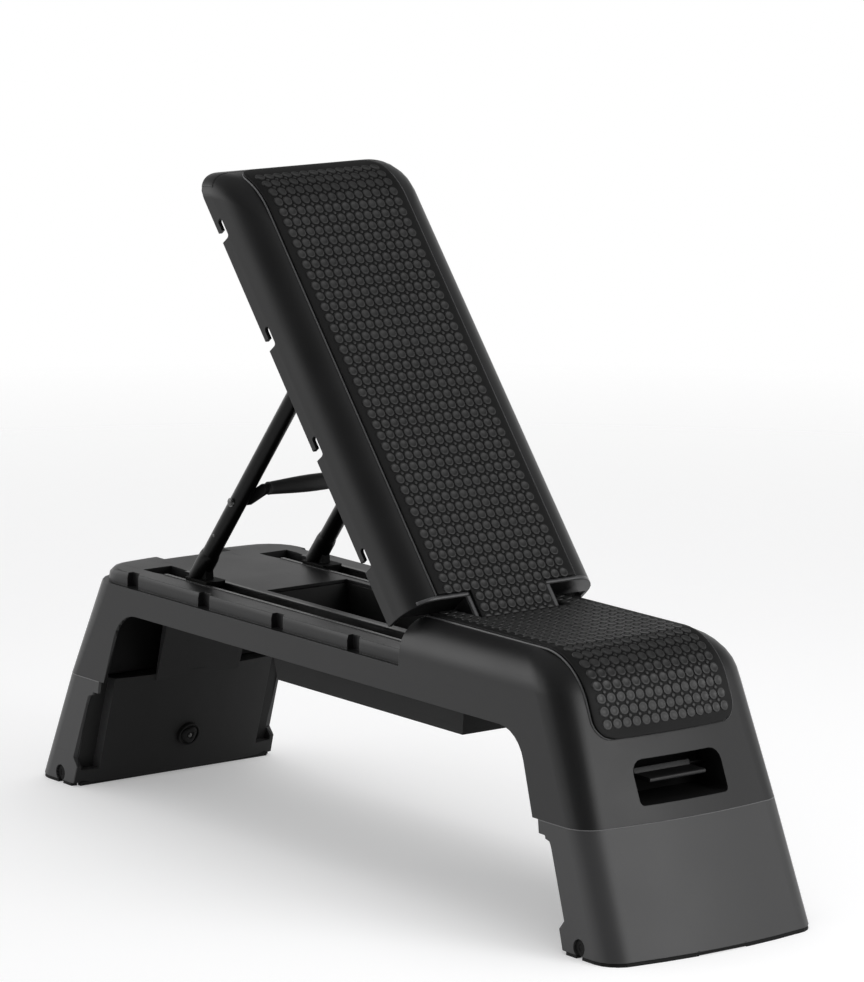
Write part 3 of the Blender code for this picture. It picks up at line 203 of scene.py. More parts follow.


# %% [markdown]
# ## Moulded plastic
#
# The shells are injection moulded, and their moulds are spark eroded, which leaves a fine even
# grain that breaks up the shine. The grain is two noises, about one and two millimetres across,
# used as a bump. On top of that, real plastic is never even: broad clouds shift the colour and the gloss a
# little, and long faint scuffs from handling catch the light. The edges are eased by about a
# millimetre with a Bevel node, since a mould has no knife edges.
#
# The outside is polished more than the core side, so the insides get a duller finish. Their darker
# colour is painted shade, where little light reaches. The lips and edges get a paler colour, which
# is a painted highlight.

# %% Moulded plastic
def moulded(name, colour, lighter, roughness, grain=0.3, scuffs=0.06, edge=0.9 * MM, shine=0.5):
    """Plastic: grain = bump of two fine noises; gloss = roughness + clouds + thin scuffs."""
    made, tree, surface, place = new_finish(name)
    clouds = noise(tree, place, 9.0, 3.0)
    fine = noise(tree, place, 1500.0, 1.0)
    coarse = noise(tree, place, 520.0, 2.0)
    scratch_place = squeezed(tree, place, (14.0, 160.0, 160.0))
    scratches = stretch(tree, noise(tree, scratch_place, 1.0, 4.0, 0.65), 0.63, 0.72, 0.0, 1.0)
    tone = stretch(tree, clouds, 0.3, 0.7, 0.0, 1.0)
    speck = sum_of(tree, "MULTIPLY", coarse, 0.5)
    share = sum_of(tree, "MULTIPLY_ADD", tone, 0.5, speck)
    tinted = blended(tree, share, colour, lighter)
    cloudy = stretch(tree, clouds, 0.3, 0.7, roughness - 0.035, roughness + 0.035)
    scuffed = sum_of(tree, "MULTIPLY_ADD", scratches, scuffs, cloudy)
    grainy = sum_of(tree, "MULTIPLY_ADD", fine, 0.05, scuffed)
    height = sum_of(tree, "MULTIPLY_ADD", coarse, 0.6, fine)
    join_up(tree, surface, tinted, grainy, shine, height, grain, 0.12 * MM, edge)
    return made


shell_plastic = moulded("charcoal_shell", grey(0.0065, 0.0002), grey(0.0105, 0.0004), 0.4, shine=0.36)
leg_plastic = moulded("grey_leg", grey(0.032, 0.0005), grey(0.042, 0.001), 0.44, shine=0.42)
fitting_plastic = moulded("black_fitting", grey(0.003), grey(0.006), 0.42, shine=0.16)
shoe_plastic = moulded("shoe_plastic", grey(0.002), grey(0.004), 0.6, scuffs=0.0, shine=0.08)
tray_plastic = moulded("tray_plastic", grey(0.006), grey(0.01), 0.5, shine=0.2)
# The two inside finishes are darker than the outside: painted shade where little light reaches.
shell_painted_shade = moulded("shell_painted_shade", grey(0.004), grey(0.007), 0.6, 0.4, 0.0, shine=0.1)
leg_painted_shade = moulded("leg_painted_shade", grey(0.016), grey(0.024), 0.55, 0.4, 0.0, shine=0.14)
# The lip and edge finishes are paler than the shell: a painted highlight along them.
lip_painted_highlight = moulded("lip_painted_highlight", grey(0.05, 0.002), grey(0.08, 0.002), 0.3, 0.1, 0.02)
edge_painted_highlight = moulded("edge_painted_highlight", grey(0.1, 0.002), grey(0.14, 0.002), 0.35, 0.1, 0.0)

# %% [markdown]
# ## Rubber
#
# The mats are a soft thermoplastic rubber. Rubber is duller than the shell, nearly black, and
# picks up a little pale dust. The studs are rubbed shinier than the hollows between them, and the
# sheet between them is darker than the studs, which is painted shade in the hollows. The feet and
# stops are the dullest, because they face the floor.

# %% Rubber
def rubbery(name, colour, dusty, roughness, grain=0.35, shine=0.5):
    """Rubber: a matt surface, a fine crumbly bump and a little pale dust in clouds."""
    made, tree, surface, place = new_finish(name)
    clouds = noise(tree, place, 14.0, 4.0, 0.6)
    fine = noise(tree, place, 1100.0, 2.0, 0.6)
    dust = sum_of(tree, "MULTIPLY", stretch(tree, clouds, 0.35, 0.75, 0.0, 1.0), fine)
    tinted = blended(tree, dust, colour, dusty)
    cloudy = stretch(tree, clouds, 0.3, 0.7, roughness - 0.06, roughness + 0.06)
    join_up(tree, surface, tinted, cloudy, shine, fine, grain, 0.15 * MM)
    return made


# The sheet is darker than the studs: painted shade in the hollows between them.
mat_rubber_painted_shade = rubbery("studded_mat_rubber", grey(0.003), grey(0.008), 0.66, shine=0.25)
stud_rubber = rubbery("stud_rubber", grey(0.013), grey(0.026), 0.48)
foot_rubber = rubbery("foot_rubber", grey(0.004), grey(0.01), 0.7, shine=0.2)
grip_rubber = rubbery("grip_rubber", grey(0.008), grey(0.018), 0.55)

# %% [markdown]
# ## Coated and plated steel
#
# The strut tubes are powder coated: a black paint that flows out with a faint orange peel. The
# rails have the same coat, rubbed paler and duller in streaks along their length, as a sliding
# shoe does it. The pins are zinc plated, which has a soft, slightly blotchy shine, and the small
# rivet heads and screws are the same plate gone dull.

# %% Coated and plated steel
def coated(name, colour, roughness, peel=0.25, rubbed=0.0, shine=0.5):
    """Powder coat: an orange peel about two millimetres across, and lengthwise rubbing."""
    made, tree, surface, place = new_finish(name)
    peel_height = noise(tree, place, 420.0, 1.0)
    clouds = noise(tree, place, 22.0, 3.0)
    runs = noise(tree, squeezed(tree, place, (8.0, 420.0, 420.0)), 1.0, 3.0, 0.6)
    worn = stretch(tree, runs, 0.5, 0.72, 0.0, 1.0)
    paler = tuple(0.6 * value + 0.02 for value in colour)
    streaks = sum_of(tree, "MULTIPLY", worn, rubbed)
    tinted = blended(tree, streaks, colour, paler)
    cloudy = stretch(tree, clouds, 0.3, 0.7, roughness - 0.04, roughness + 0.04)
    duller = sum_of(tree, "MULTIPLY_ADD", worn, rubbed * 0.25, cloudy)
    join_up(tree, surface, tinted, duller, shine, peel_height, peel, 0.1 * MM, 0.5 * MM)
    return made


def plated(name, dark, pale):
    """Zinc: metal with a fine blotch in its colour and gloss."""
    made, tree, surface, place = new_finish(name)
    blotch = noise(tree, place, 260.0, 3.0, 0.6)
    surface.inputs["Metallic"].default_value = 1.0
    gloss = stretch(tree, blotch, 0.3, 0.7, 0.28, 0.45)
    join_up(tree, surface, blended(tree, blotch, dark, pale), gloss, 0.5, blotch, 0.15, 0.05 * MM)
    return made


tube_coat = coated("black_tube_coat", grey(0.002), 0.34, 0.2, shine=0.16)
rail_coat = coated("rail_coat", grey(0.012), 0.34, 0.2, 0.8)
zinc = plated("zinc_plate", (0.34, 0.345, 0.35), (0.5, 0.5, 0.49))
dull_zinc = plated("dull_zinc", grey(0.07), (0.12, 0.12, 0.118))

# %% [markdown]
# ## Finishes for the CAD nodes
#
# The record gives every node a material slot. Each slot gets one of the finishes above. The
# latches' rods are steel as well, but they are painted like the tubes.

# %% Assign the finishes
FINISH_OF_SLOT = {
    "shell": shell_plastic,
    "leg": leg_plastic,
    "mat": mat_rubber_painted_shade,
    "rail": rail_coat,
    "fitting": fitting_plastic,
    "grip": grip_rubber,
    "tube": tube_coat,
    "rubber": foot_rubber,
    "steel": zinc,
}
for part in frame["record"]["subparts"]:
    painted = part["node"].startswith("latch_rod")
    mesh = nodes[part["node"]].data
    mesh.materials.clear()
    mesh.materials.append(tube_coat if painted else FINISH_OF_SLOT[part["material_slot"]])

# %% [markdown]
# ## Making a piece
#
# A piece starts as a grid of points worked out with numpy, and its faces are the squares of that
# grid. It is put into a mesh, given a finish, and told which body it moves with. The backrest is
# easiest to think of lying flat, so its pieces are worked out lying flat and then turned up about
# the hinge rod, as the real one is.

# %% Helpers for pieces
HINGE = np.array((192.0, 0.0, 287.5)) * MM
TILT = math.radians(51.03)
SAME_POINT = 0.002 * MM


def turned(points, angle, about=HINGE):
    """Points turned about a line across the bench: x' = x cos + z sin, z' = z cos - x sin."""
    x, y, z = (points.reshape(-1, 3) - about).T
    c, s = math.cos(angle), math.sin(angle)
    return np.column_stack((x * c + z * s, y, z * c - x * s)) + about


def turned_up(points):
    """Points of the lying backrest, turned up about the hinge rod."""
    return turned(points, TILT)


def grid_faces(rows, columns, ring=False, flip=False):
    """The squares of a grid of points, row after row; ring joins the last column to the first."""
    i = np.arange(rows - 1)[:, None] * columns
    j = np.arange(columns if ring else columns - 1)[None, :]
    k = (j + 1) % columns
    corners = [i + j, i + k, i + columns + k, i + columns + j]
    if flip:
        corners.reverse()
    return np.stack(corners, -1).reshape(-1, 4)


def closed_faces(rows, columns):
    """The squares of a ring of columns drawn out over rows, with a face over either end."""
    ends = [np.arange(columns), np.arange(columns) + (rows - 1) * columns]
    return list(grid_faces(rows, columns, ring=True)) + ends


def make_piece(name, points, faces, body, finish, sharp=35.0):
    """A mesh from points and faces, smooth apart from its sharp edges, that rides on a body."""
    mesh = bpy.data.meshes.new(name)
    mesh.from_pydata(points.reshape(-1, 3).tolist(), [], [tuple(map(int, face)) for face in faces])
    mesh.shade_smooth()
    mesh.set_sharp_from_angle(angle=math.radians(sharp))
    mesh.materials.append(finish)
    made = bpy.data.objects.new(name, mesh)
    scene.collection.objects.link(made)
    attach(made, body)
    print(name, len(mesh.vertices), "points", len(mesh.polygons), "faces")
    return made


def merge(mesh, outwards=False):
    """Joins points that lie together and, where asked, turns a closed mesh's faces outwards."""
    merged = bmesh.new()
    merged.from_mesh(mesh)
    bmesh.ops.remove_doubles(merged, verts=merged.verts, dist=SAME_POINT)
    if outwards:
        bmesh.ops.recalc_face_normals(merged, faces=merged.faces)
    merged.to_mesh(mesh)
    merged.free()


def closed_piece(name, rings, body, finish, sharp):
    """A closed piece from rings of points, one ring to a row."""
    made = make_piece(name, rings, closed_faces(*rings.shape[:2]), body, finish, sharp)
    merge(made.data, outwards=True)
    return made


# %% [markdown]
# ## Smooth shells
#
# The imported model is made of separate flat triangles, so its round shoulders show as facets. A
# copy of each part is merged into one skin and shaded smooth, with its true edges kept sharp.
#
# That still leaves blotches, because a long thin triangle spreads the turn of one corner far over
# a flat wall. The bench's outside, though, is a form with a formula: two side walls that lean in,
# two end walls that lean in and bow, round corners between them, and a shoulder that rolls into
# the top. So the true outward direction is known at every point: it is the slope of a function F
# that is zero on the form and grows outwards. Each corner of a face that lies on the form takes
# that direction, and the highlights then run along the shell as clean as on the real moulding.

# %% The bench's form as a function
TOP = 301 * MM
SEAM = 133 * MM
SIDE_FOOT = 141 * MM
SIDE_LEAN = 0.0375
SIDE_ROLL = 38 * MM
END_FOOT = 550 * MM
END_LEAN = 0.42
END_BOW = 0.74
SEAT_ROLL = 75 * MM
BACK_ROLL = 95 * MM
BACK_DRAW = 24.8 * MM
BACK_CORNER = 31 * MM


def reach_at(z, base, lean, radius, slant):
    """A wall at base - lean * z, rolled into the flat top: centre + sqrt(R^2 - rise^2)."""
    middle = TOP - radius
    centre = base - lean * middle - radius * slant
    rolled = centre + np.sqrt(np.maximum(radius**2 - np.maximum(z - middle, 0.0) ** 2, 0.0))
    straight = base - lean * z
    starts = middle + radius * (lean / slant if slant > 1.0 else 0.0)
    return np.where(z <= starts, straight, rolled)


def form(points, end, roll, draw, bow, corner_top):
    """F over points: end wall, side wall or round corner, whichever the point is beside."""
    x, y, z = points[:, 0] * end, np.abs(points[:, 1]), np.minimum(points[:, 2], TOP - 0.02 * MM)
    half = reach_at(z, SIDE_FOOT, SIDE_LEAN, SIDE_ROLL, 1.0)
    far = reach_at(z, END_FOOT, END_LEAN, roll, math.hypot(1, END_LEAN)) - draw
    share = np.clip((z - SEAM) / (TOP - SEAM), 0.0, 1.0)
    corner = corner_top[0] + (corner_top[1] - corner_top[0]) * share
    flat = half - corner
    begin = far - bow * flat**2 - corner
    on_end = x - (far - bow * y**2)
    on_side = y - half
    on_corner = np.hypot(x - begin, y - flat) - corner
    return np.where(y <= flat, on_end, np.where(x <= begin, on_side, on_corner))


def slope_of(points, *shape):
    """F and its slope, by central differences of a hundredth of a millimetre."""
    value = form(points, *shape)
    small = 0.01 * MM
    parts = []
    for i in range(3):
        shift = np.zeros(3)
        shift[i] = small
        parts.append(form(points + shift, *shape) - form(points - shift, *shape))
    slope = np.stack(parts, -1)
    return value, slope / np.maximum(np.linalg.norm(slope, axis=1), 1e-12)[:, None]


SEAT_END = (1.0, SEAT_ROLL, 0.0, END_BOW, (30 * MM, 38 * MM))
REAR_END = (-1.0, BACK_ROLL, 0.0, END_BOW, (30 * MM, 52 * MM))
BACK_END = (-1.0, BACK_ROLL, BACK_DRAW, 0.0, (BACK_CORNER, BACK_CORNER))
MOST_TURN = math.radians(26)
MOST_GAP = 0.45 * MM
SHADE_DEPTH = 2.5 * MM
BASE_SHADE_TOP = 247 * MM
LEG_SHADE_TOP = 200 * MM


def read(items, name, kind=float, width=1):
    """One property of all a mesh's items as an array."""
    made = np.empty(len(items) * width, dtype=kind)
    items.foreach_get(name, made)
    return made.reshape(-1, width) if width > 1 else made


def calm_normals(index, faces, areas, limit):
    """At each corner, the sum of area * normal over the faces there that turn less than a limit."""
    order = np.argsort(index, kind="stable")
    at, normal = index[order], faces[order]
    weighted = normal * areas[order][:, None]
    total = weighted.copy()
    for step in range(1, int(np.bincount(index).max())):
        pair = at[step:] == at[:-step]
        close = pair & ((normal[step:] * normal[:-step]).sum(1) > math.cos(limit))
        total[step:] += weighted[:-step] * close[:, None]
        total[:-step] += weighted[step:] * close[:, None]
    made = np.empty_like(total)
    made[order] = total / np.maximum(np.linalg.norm(total, axis=1), 1e-15)[:, None]
    return made


def true_normals(mesh, ends, lying, limit):
    """Every face corner on the form takes the form's direction; the others are calmed."""
    index = read(mesh.loops, "vertex_index", np.int32)
    points = read(mesh.vertices, "co", width=3)
    if lying:
        points = turned(points, -TILT)
    sides = read(mesh.polygons, "loop_total", np.int32)
    faces = np.repeat(read(mesh.polygons, "normal", width=3), sides, axis=0)
    areas = np.repeat(read(mesh.polygons, "area"), sides)
    made = calm_normals(index, faces, areas, limit)
    taken = 0
    for end in ends:
        value, slope = slope_of(points, *end)
        if lying:
            slope = turned(slope, TILT, about=(0.0, 0.0, 0.0))
        value, slope = value[index], slope[index]
        here = (points[index, 0] * end[0] > 0.0) | (len(ends) == 1)
        agrees = (slope * faces).sum(1) > math.cos(MOST_TURN)
        good = (np.abs(value) < MOST_GAP) & agrees & here
        made[good] = slope[good]
        taken += int(good.sum())
    mesh.normals_split_custom_set(made.tolist())
    return taken


def paint_shade_inside(mesh, ends, finish, below, facing=None):
    """Painted shade, with a duller finish: faces well under the form and below a height, that face in
    where asked.
    """
    middle = read(mesh.polygons, "center", width=3)
    normal = read(mesh.polygons, "normal", width=3)
    mesh.materials.append(finish)
    choice = np.zeros(len(middle), dtype=np.int32)
    for end in ends:
        depth = -form(middle, *end)
        here = middle[:, 0] * end[0] > 0.0
        inwards = facing is None or -normal[:, 0] * end[0] > facing
        choice[here & (depth > SHADE_DEPTH) & (middle[:, 2] < below) & inwards] = 1
    mesh.polygons.foreach_set("material_index", choice)
    print(mesh.name, int(choice.sum()), "faces inside")


def smooth_copy(node, finish, ends=(), lying=False, sharp=34.0):
    """The node's own shape, merged and shaded smooth, which stands for the node."""
    mesh = nodes[node].data.copy()
    mesh.name = f"smooth_{node}"
    merge(mesh)
    mesh.shade_smooth()
    mesh.materials.clear()
    mesh.materials.append(finish)
    made = bpy.data.objects.new(f"smooth_{node}", mesh)
    scene.collection.objects.link(made)
    taken = true_normals(mesh, ends, lying, math.radians(sharp))
    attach(made, BODY_OF[node])
    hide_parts(node)
    print(node, len(mesh.polygons), "faces,", taken, "corners on the form")
    return made


# %% Merge and smooth the parts
BODY_OF = {}
for body, members in frame["record"]["behaviour"]["bodies"].items():
    for node in members:
        BODY_OF[node] = body

base = smooth_copy("base_shell", shell_plastic, (SEAT_END, REAR_END))
paint_shade_inside(base.data, (SEAT_END, REAR_END), shell_painted_shade, BASE_SHADE_TOP)
for label, end in (("front", SEAT_END), ("rear", REAR_END)):
    leg = smooth_copy(f"leg_{label}", leg_plastic, (end,))
    paint_shade_inside(leg.data, (end,), leg_painted_shade, LEG_SHADE_TOP, facing=0.5)
smooth_copy("backrest_shell", shell_plastic, (BACK_END,), lying=True)
SMALL_PARTS = {
    "storage_tray": tray_plastic,
    "handle_bar": fitting_plastic,
    "latch_paddle_front": shell_plastic,
    "latch_paddle_rear": shell_plastic,
    "strut_tube_near": tube_coat,
    "strut_tube_far": tube_coat,
    "shoe_near": shoe_plastic,
    "shoe_far": shoe_plastic,
}
for node, finish in SMALL_PARTS.items():
    smooth_copy(node, finish)

# %% [markdown]
# ## The backrest's end skirt
#
# Seen lying flat, the backrest's rolled end runs on down into a skirt that covers the rim. Its
# lower edge is what draws the backrest's outline against the white, so it gets a piece of its own:
# a band over (turn round the plan, height), where each point is on the same form as the shell.

# %% End skirt
SKIRT_LOW = 251.4 * MM
SKIRT_HIGH = 268.2 * MM
SKIRT_WALL = 4.3 * MM


def thickened(piece, thickness, width):
    """A sheet given its thickness inwards, with its sharp edges rounded to a width."""
    wall = piece.modifiers.new("thickness", "SOLIDIFY")
    wall.thickness = thickness
    wall.offset = -1.0
    rim = piece.modifiers.new("rim", "BEVEL")
    rim.width = width
    rim.segments = 2
    rim.limit_method = "ANGLE"
    rim.angle_limit = math.radians(50)


def end_skirt(steps=15, rows=9):
    """Plan angle a: corner centre + corner radius * (-sin a, cos a) for the two corners, joined."""
    angle = np.radians(np.linspace(28, 90, steps))
    z = np.linspace(SKIRT_LOW, SKIRT_HIGH, rows)
    half = reach_at(z, SIDE_FOOT, SIDE_LEAN, SIDE_ROLL, 1.0)
    far = reach_at(z, END_FOOT, END_LEAN, BACK_ROLL, math.hypot(1, END_LEAN)) - BACK_DRAW
    near_x = -(far - BACK_CORNER)[:, None] - BACK_CORNER * np.sin(angle)[None, :]
    near_y = (half - BACK_CORNER)[:, None] + BACK_CORNER * np.cos(angle)[None, :]
    x = np.concatenate((near_x, near_x[:, ::-1]), axis=1)
    y = np.concatenate((-near_y, near_y[:, ::-1]), axis=1)
    return np.stack((x, y, np.repeat(z[:, None], x.shape[1], axis=1)), -1)


band = end_skirt()
band_faces = grid_faces(*band.shape[:2], flip=True)
skirt = make_piece(
    "backrest_end_skirt", turned_up(band), band_faces, "backrest", shell_plastic, 60.0,
)
thickened(skirt, SKIRT_WALL, 0.6 * MM)

# %% [markdown]
# ## The way a mat is laid
#
# Each mat is a rubber sheet glued to the shell: flat on top, then bent over the rolled end. Think
# of it as a strip of paper. A place on it has a distance along the strip, a distance across it
# and a height above the shell. A path drawn in the bench's long section turns the distance along
# into a place, and the path's normal says which way the height goes. The same three numbers then
# place the sheet, its raised lip and every stud, and they all bend over the edge together.

# %% A path and what lies on it
def arc(centre, radius, start, end, count):
    """Points (x, z) on an arc: centre + radius * (cos, sin), angles in degrees."""
    angle = np.radians(np.linspace(start, end, count))
    return np.column_stack((centre[0] + radius * np.cos(angle), centre[1] + radius * np.sin(angle)))


class Way:
    """A path of points (x, z): the place and the outward normal at any distance along it."""

    def __init__(self, points):
        step = np.linalg.norm(np.diff(points, axis=0), axis=1)
        keep = np.concatenate(([True], step > 1e-9))
        self.points = points[keep]
        self.run = np.concatenate(([0.0], np.cumsum(step[step > 1e-9])))
        slope = np.gradient(self.points, self.run, axis=0)
        slope /= np.linalg.norm(slope, axis=1)[:, None]
        self.normal = np.column_stack((-slope[:, 1], slope[:, 0]))
        self.length = self.run[-1]

    def at(self, along, lift):
        """x and z at a distance along the path, lifted off it along the normal."""
        x, z = (np.interp(along, self.run, self.points[:, i]) for i in (0, 1))
        nx, nz = (np.interp(along, self.run, self.normal[:, i]) for i in (0, 1))
        return x + lift * nx, z + lift * nz


SEAT_START = 163 * MM
SEAT_ROLL_CENTRE = np.array((373.73, 226.0)) * MM
SEAT_MAT_LOW = 217 * MM
BACK_ROLL_CENTRE = np.array((335.6, 206.0)) * MM
BACK_MAT_TURN = 44
TONGUE_ROLL = TOP - HINGE[2]

wall_turn = math.degrees(math.atan(END_LEAN))
seat_way = Way(np.vstack((
    np.column_stack((np.linspace(SEAT_START, SEAT_ROLL_CENTRE[0], 60), np.full(60, TOP))),
    arc(SEAT_ROLL_CENTRE, SEAT_ROLL, 90, wall_turn, 40)[1:],
    (END_FOOT - END_LEAN * SEAT_MAT_LOW, SEAT_MAT_LOW),
)))
back_way = Way(np.vstack((
    arc((-HINGE[0], HINGE[2]), TONGUE_ROLL, 160, 90, 14),
    np.column_stack((np.linspace(-HINGE[0], BACK_ROLL_CENTRE[0], 120)[1:], np.full(119, TOP))),
    arc(BACK_ROLL_CENTRE, BACK_ROLL, 90, BACK_MAT_TURN, 40)[1:],
)))
print("seat mat", round(seat_way.length, 3), "m, backrest mat", round(back_way.length, 3), "m long")


BOW_FADE = 120 * MM


def on_seat(along, across, lift):
    """A place on the seat: the way's place, drawn back by the end's bow, which fades in."""
    x, z = seat_way.at(along, lift)
    bow = END_BOW * across**2 * np.clip(along / BOW_FADE, 0.0, 1.0)
    return np.stack((x - bow, across + 0.0 * x, z), -1)


def on_back(along, across, lift):
    """A place on the backrest: the way runs towards the rear, so x changes sign, then turned up."""
    x, z = back_way.at(along, lift)
    return turned_up(np.stack((-x, across + 0.0 * x, z), -1))


# %% [markdown]
# ## The mats
#
# A mat's outline has square corners at the hinge and rounded corners at the end, and near the
# hinge it is cut round the tongue. The sheet is a grid that has lines exactly on those edges: the
# squares outside the outline are left out, and the outer columns are drawn in where the corner is
# round. Solidify then gives it its 3 mm thickness and a little more, which is sunk into the
# shell, and Bevel rounds its rim.

# %% The sheets
MAT_HALF = 93 * MM
MAT_CORNER = 22 * MM
MAT_THICKNESS = 3 * MM
MAT_SUNK = 0.6 * MM
BACK_FRONT = 55 * MM
TONGUE_START = 16.5 * MM
TONGUE_HALF = 50 * MM
RECESS_END = 48.5 * MM
RECESS_HALF = 58.5 * MM
SEAT_BEND = 211 * MM
BACK_BEND = 543 * MM


def corner_share(along, length):
    """Half the mat's width where its end corners are round: flat part + sqrt(R^2 - left^2)."""
    left = np.clip(MAT_CORNER - (length - along), 0.0, MAT_CORNER)
    return MAT_HALF - MAT_CORNER + np.sqrt(MAT_CORNER**2 - left**2)


def lines(*marks, step):
    """Grid lines through every mark, no further apart than a step."""
    counts = [max(int(np.ceil((b - a) / step)), 1) + 1 for a, b in zip(marks, marks[1:])]
    made = [np.linspace(a, b, n)[:-1] for a, b, n in zip(marks, marks[1:], counts)]
    return np.concatenate(made + [[marks[-1]]])


def mat_sheet(name, lay, along, waist, inside, body, flip):
    """A grid over (along, across) on the shell, without the squares that inside() refuses."""
    half = np.array((0.0, waist, MAT_HALF))
    across = lines(-half[2], -half[1], 0.0, half[1], half[2], step=6 * MM)
    s, y = np.meshgrid(along, across, indexing="ij")
    width = corner_share(s, along[-1])
    beyond = np.maximum(np.abs(y) - waist, 0.0) * (width - waist) / (MAT_HALF - waist)
    y = np.sign(y) * (np.minimum(np.abs(y), waist) + beyond)
    middle_s = (along[1:] + along[:-1])[:, None] / 2
    middle_y = (across[1:] + across[:-1])[None, :] / 2
    faces = grid_faces(len(along), len(across), flip=flip)
    faces = faces[inside(middle_s, middle_y).ravel()]
    used, faces = np.unique(faces, return_inverse=True)
    points = lay(s, y, np.full_like(s, MAT_THICKNESS)).reshape(-1, 3)[used]
    sheet = make_piece(name, points, faces.reshape(-1, 4), body, mat_rubber_painted_shade, 60.0)
    thickened(sheet, MAT_THICKNESS + MAT_SUNK, 0.9 * MM)
    return sheet


def marks_along(length, *marks):
    """Grid lines along a mat through its marks and its round corners."""
    return lines(0.0, *marks, length - MAT_CORNER, length, step=5 * MM)


seat_sheet = mat_sheet(
    "seat_mat_sheet", on_seat, marks_along(seat_way.length, RECESS_END, SEAT_BEND), RECESS_HALF,
    lambda s, y: ~((np.abs(y) < RECESS_HALF) & (s < RECESS_END)), "base", True,
)
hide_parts("seat_mat")
back_marks = marks_along(back_way.length, TONGUE_START, BACK_FRONT, BACK_BEND)
back_sheet = mat_sheet(
    "backrest_mat_sheet", on_back, back_marks, TONGUE_HALF,
    lambda s, y: (np.abs(y) < TONGUE_HALF) | (s > BACK_FRONT), "backrest", False,
)
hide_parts("backrest_mat")

# %% [markdown]
# ## The lips round the mats
#
# The shell has a thin raised lip round each mat, so that the rubber can't be kicked loose. From
# the side it shows as a bright hairline beside the dark mat, and the bead is given a paler colour
# than the shell, which paints that highlight. It is a half-round bead carried along the mat's
# outline: one parameter runs along the outline and the other over the bead. Broader, flatter beads
# border the backrest's front edge and its tongue, in the same paler colour. The front one is let
# down where the shoulder rolls away under it.

# %% Lips
def there_and_back(front, middle):
    """A path of (along, across, normal along, normal across): one side, the end, the other side."""
    return np.vstack((front, middle, front[::-1] * (1, -1, 1, -1))).T


def mat_outline(start, length, gap):
    """The path round a mat's end, at a gap outside it, with its outward normals."""
    half = MAT_HALF + gap
    radius = MAT_CORNER + gap
    turn = np.radians(np.linspace(0, 90, 12))[1:]
    s = np.linspace(start, length - MAT_CORNER, 90)
    side = np.column_stack((s, np.full(90, half), np.zeros(90), np.ones(90)))
    corner_s = length - MAT_CORNER + radius * np.sin(turn)
    corner_y = half - radius + radius * np.cos(turn)
    corner = np.column_stack((corner_s, corner_y, np.sin(turn), np.cos(turn)))
    flat = np.linspace(half - radius, radius - half, 30)[1:-1]
    end = np.column_stack((np.full(28, length + gap), flat, np.ones(28), np.zeros(28)))
    return there_and_back(np.vstack((side, corner)), end)


def straight(start, end, count=24):
    """Points (along, across) from one place in millimetres to another, and their normals."""
    s, y = (np.linspace(a, b, count) * MM for a, b in zip(start, end))
    run = math.hypot(end[0] - start[0], end[1] - start[1])
    ns, ny = (end[1] - start[1]) / run, (start[0] - end[0]) / run
    return s, y, np.full(count, ns), np.full(count, ny)


SHOULDER_START = 93.1 * MM
LIP_GAP = 1.7 * MM
FRONT_EDGE = 52.4
TONGUE_EDGE = 53.8


def over_shoulder(along, across, lift):
    """A place on the backrest, let down to its rolled side: R - sqrt(R^2 - beyond^2)."""
    beyond = np.clip(np.abs(across) - SHOULDER_START, 0.0, SIDE_ROLL - 1 * MM)
    drop = SIDE_ROLL - np.sqrt(SIDE_ROLL**2 - beyond**2)
    return on_back(along, across, lift - drop)


def bead(name, lay, outline, body, half_width=0.9 * MM, height=1.5 * MM):
    """A bead over (outline, turn): offset = -w cos(turn), lift = h sin(turn)."""
    s, y, ns, ny = outline
    turn = np.radians((-30, 10, 45, 90, 135, 170, 210))[None, :]
    offset = -half_width * np.cos(turn)
    lift = height * np.sin(turn) + 0.0 * s[:, None]
    along = s[:, None] + ns[:, None] * offset
    across = y[:, None] + ny[:, None] * offset
    rings = lay(along, across, lift).reshape(*along.shape, 3)
    closed_piece(name, rings, body, lip_painted_highlight, 60.0)


seat_edge = mat_outline(0.0, seat_way.length - 1.0 * MM, LIP_GAP)
bead("seat_mat_lip", on_seat, seat_edge, "base")
back_edge = mat_outline(BACK_FRONT, back_way.length - 3.0 * MM, LIP_GAP)
bead("backrest_mat_lip", on_back, back_edge, "backrest")
for label, side in (("near", -1), ("far", 1)):
    border = straight((FRONT_EDGE, side * 53.0), (FRONT_EDGE, side * 117.0))
    bead(f"backrest_border_{label}", over_shoulder, border, "backrest", 2.0 * MM, 0.7 * MM)
    tongue = straight((9.0, side * TONGUE_EDGE), (49.0, side * TONGUE_EDGE))
    bead(f"tongue_border_{label}", on_back, tongue, "backrest", 2.4 * MM, 0.7 * MM)

# %% [markdown]
# ## The studs
#
# The grip comes from round studs set in rows, 12.1 mm apart across the mat and 13.7 mm along it.
# Each is a low disc with a dished middle, and a small dot fills the space between four discs. A
# stud is a profile turned on a circle, with only a few dozen faces, because there are hundreds.
# One array holds the middles of all the studs and another the shape of one, and adding the two
# gives every point at once.

# %% Studs
STUD_ACROSS = 12.1 * MM
STUD_ALONG = 13.7 * MM
STUD_RADII = np.array((5.75, 5.45, 4.9, 3.9, 3.3)) * MM
STUD_LIFTS = np.array((-0.3, 0.85, 1.1, 1.05, 0.75)) * MM
DOT_RADII = np.array((2.2, 1.9, 1.2)) * MM
DOT_LIFTS = np.array((-0.3, 0.8, 1.05)) * MM


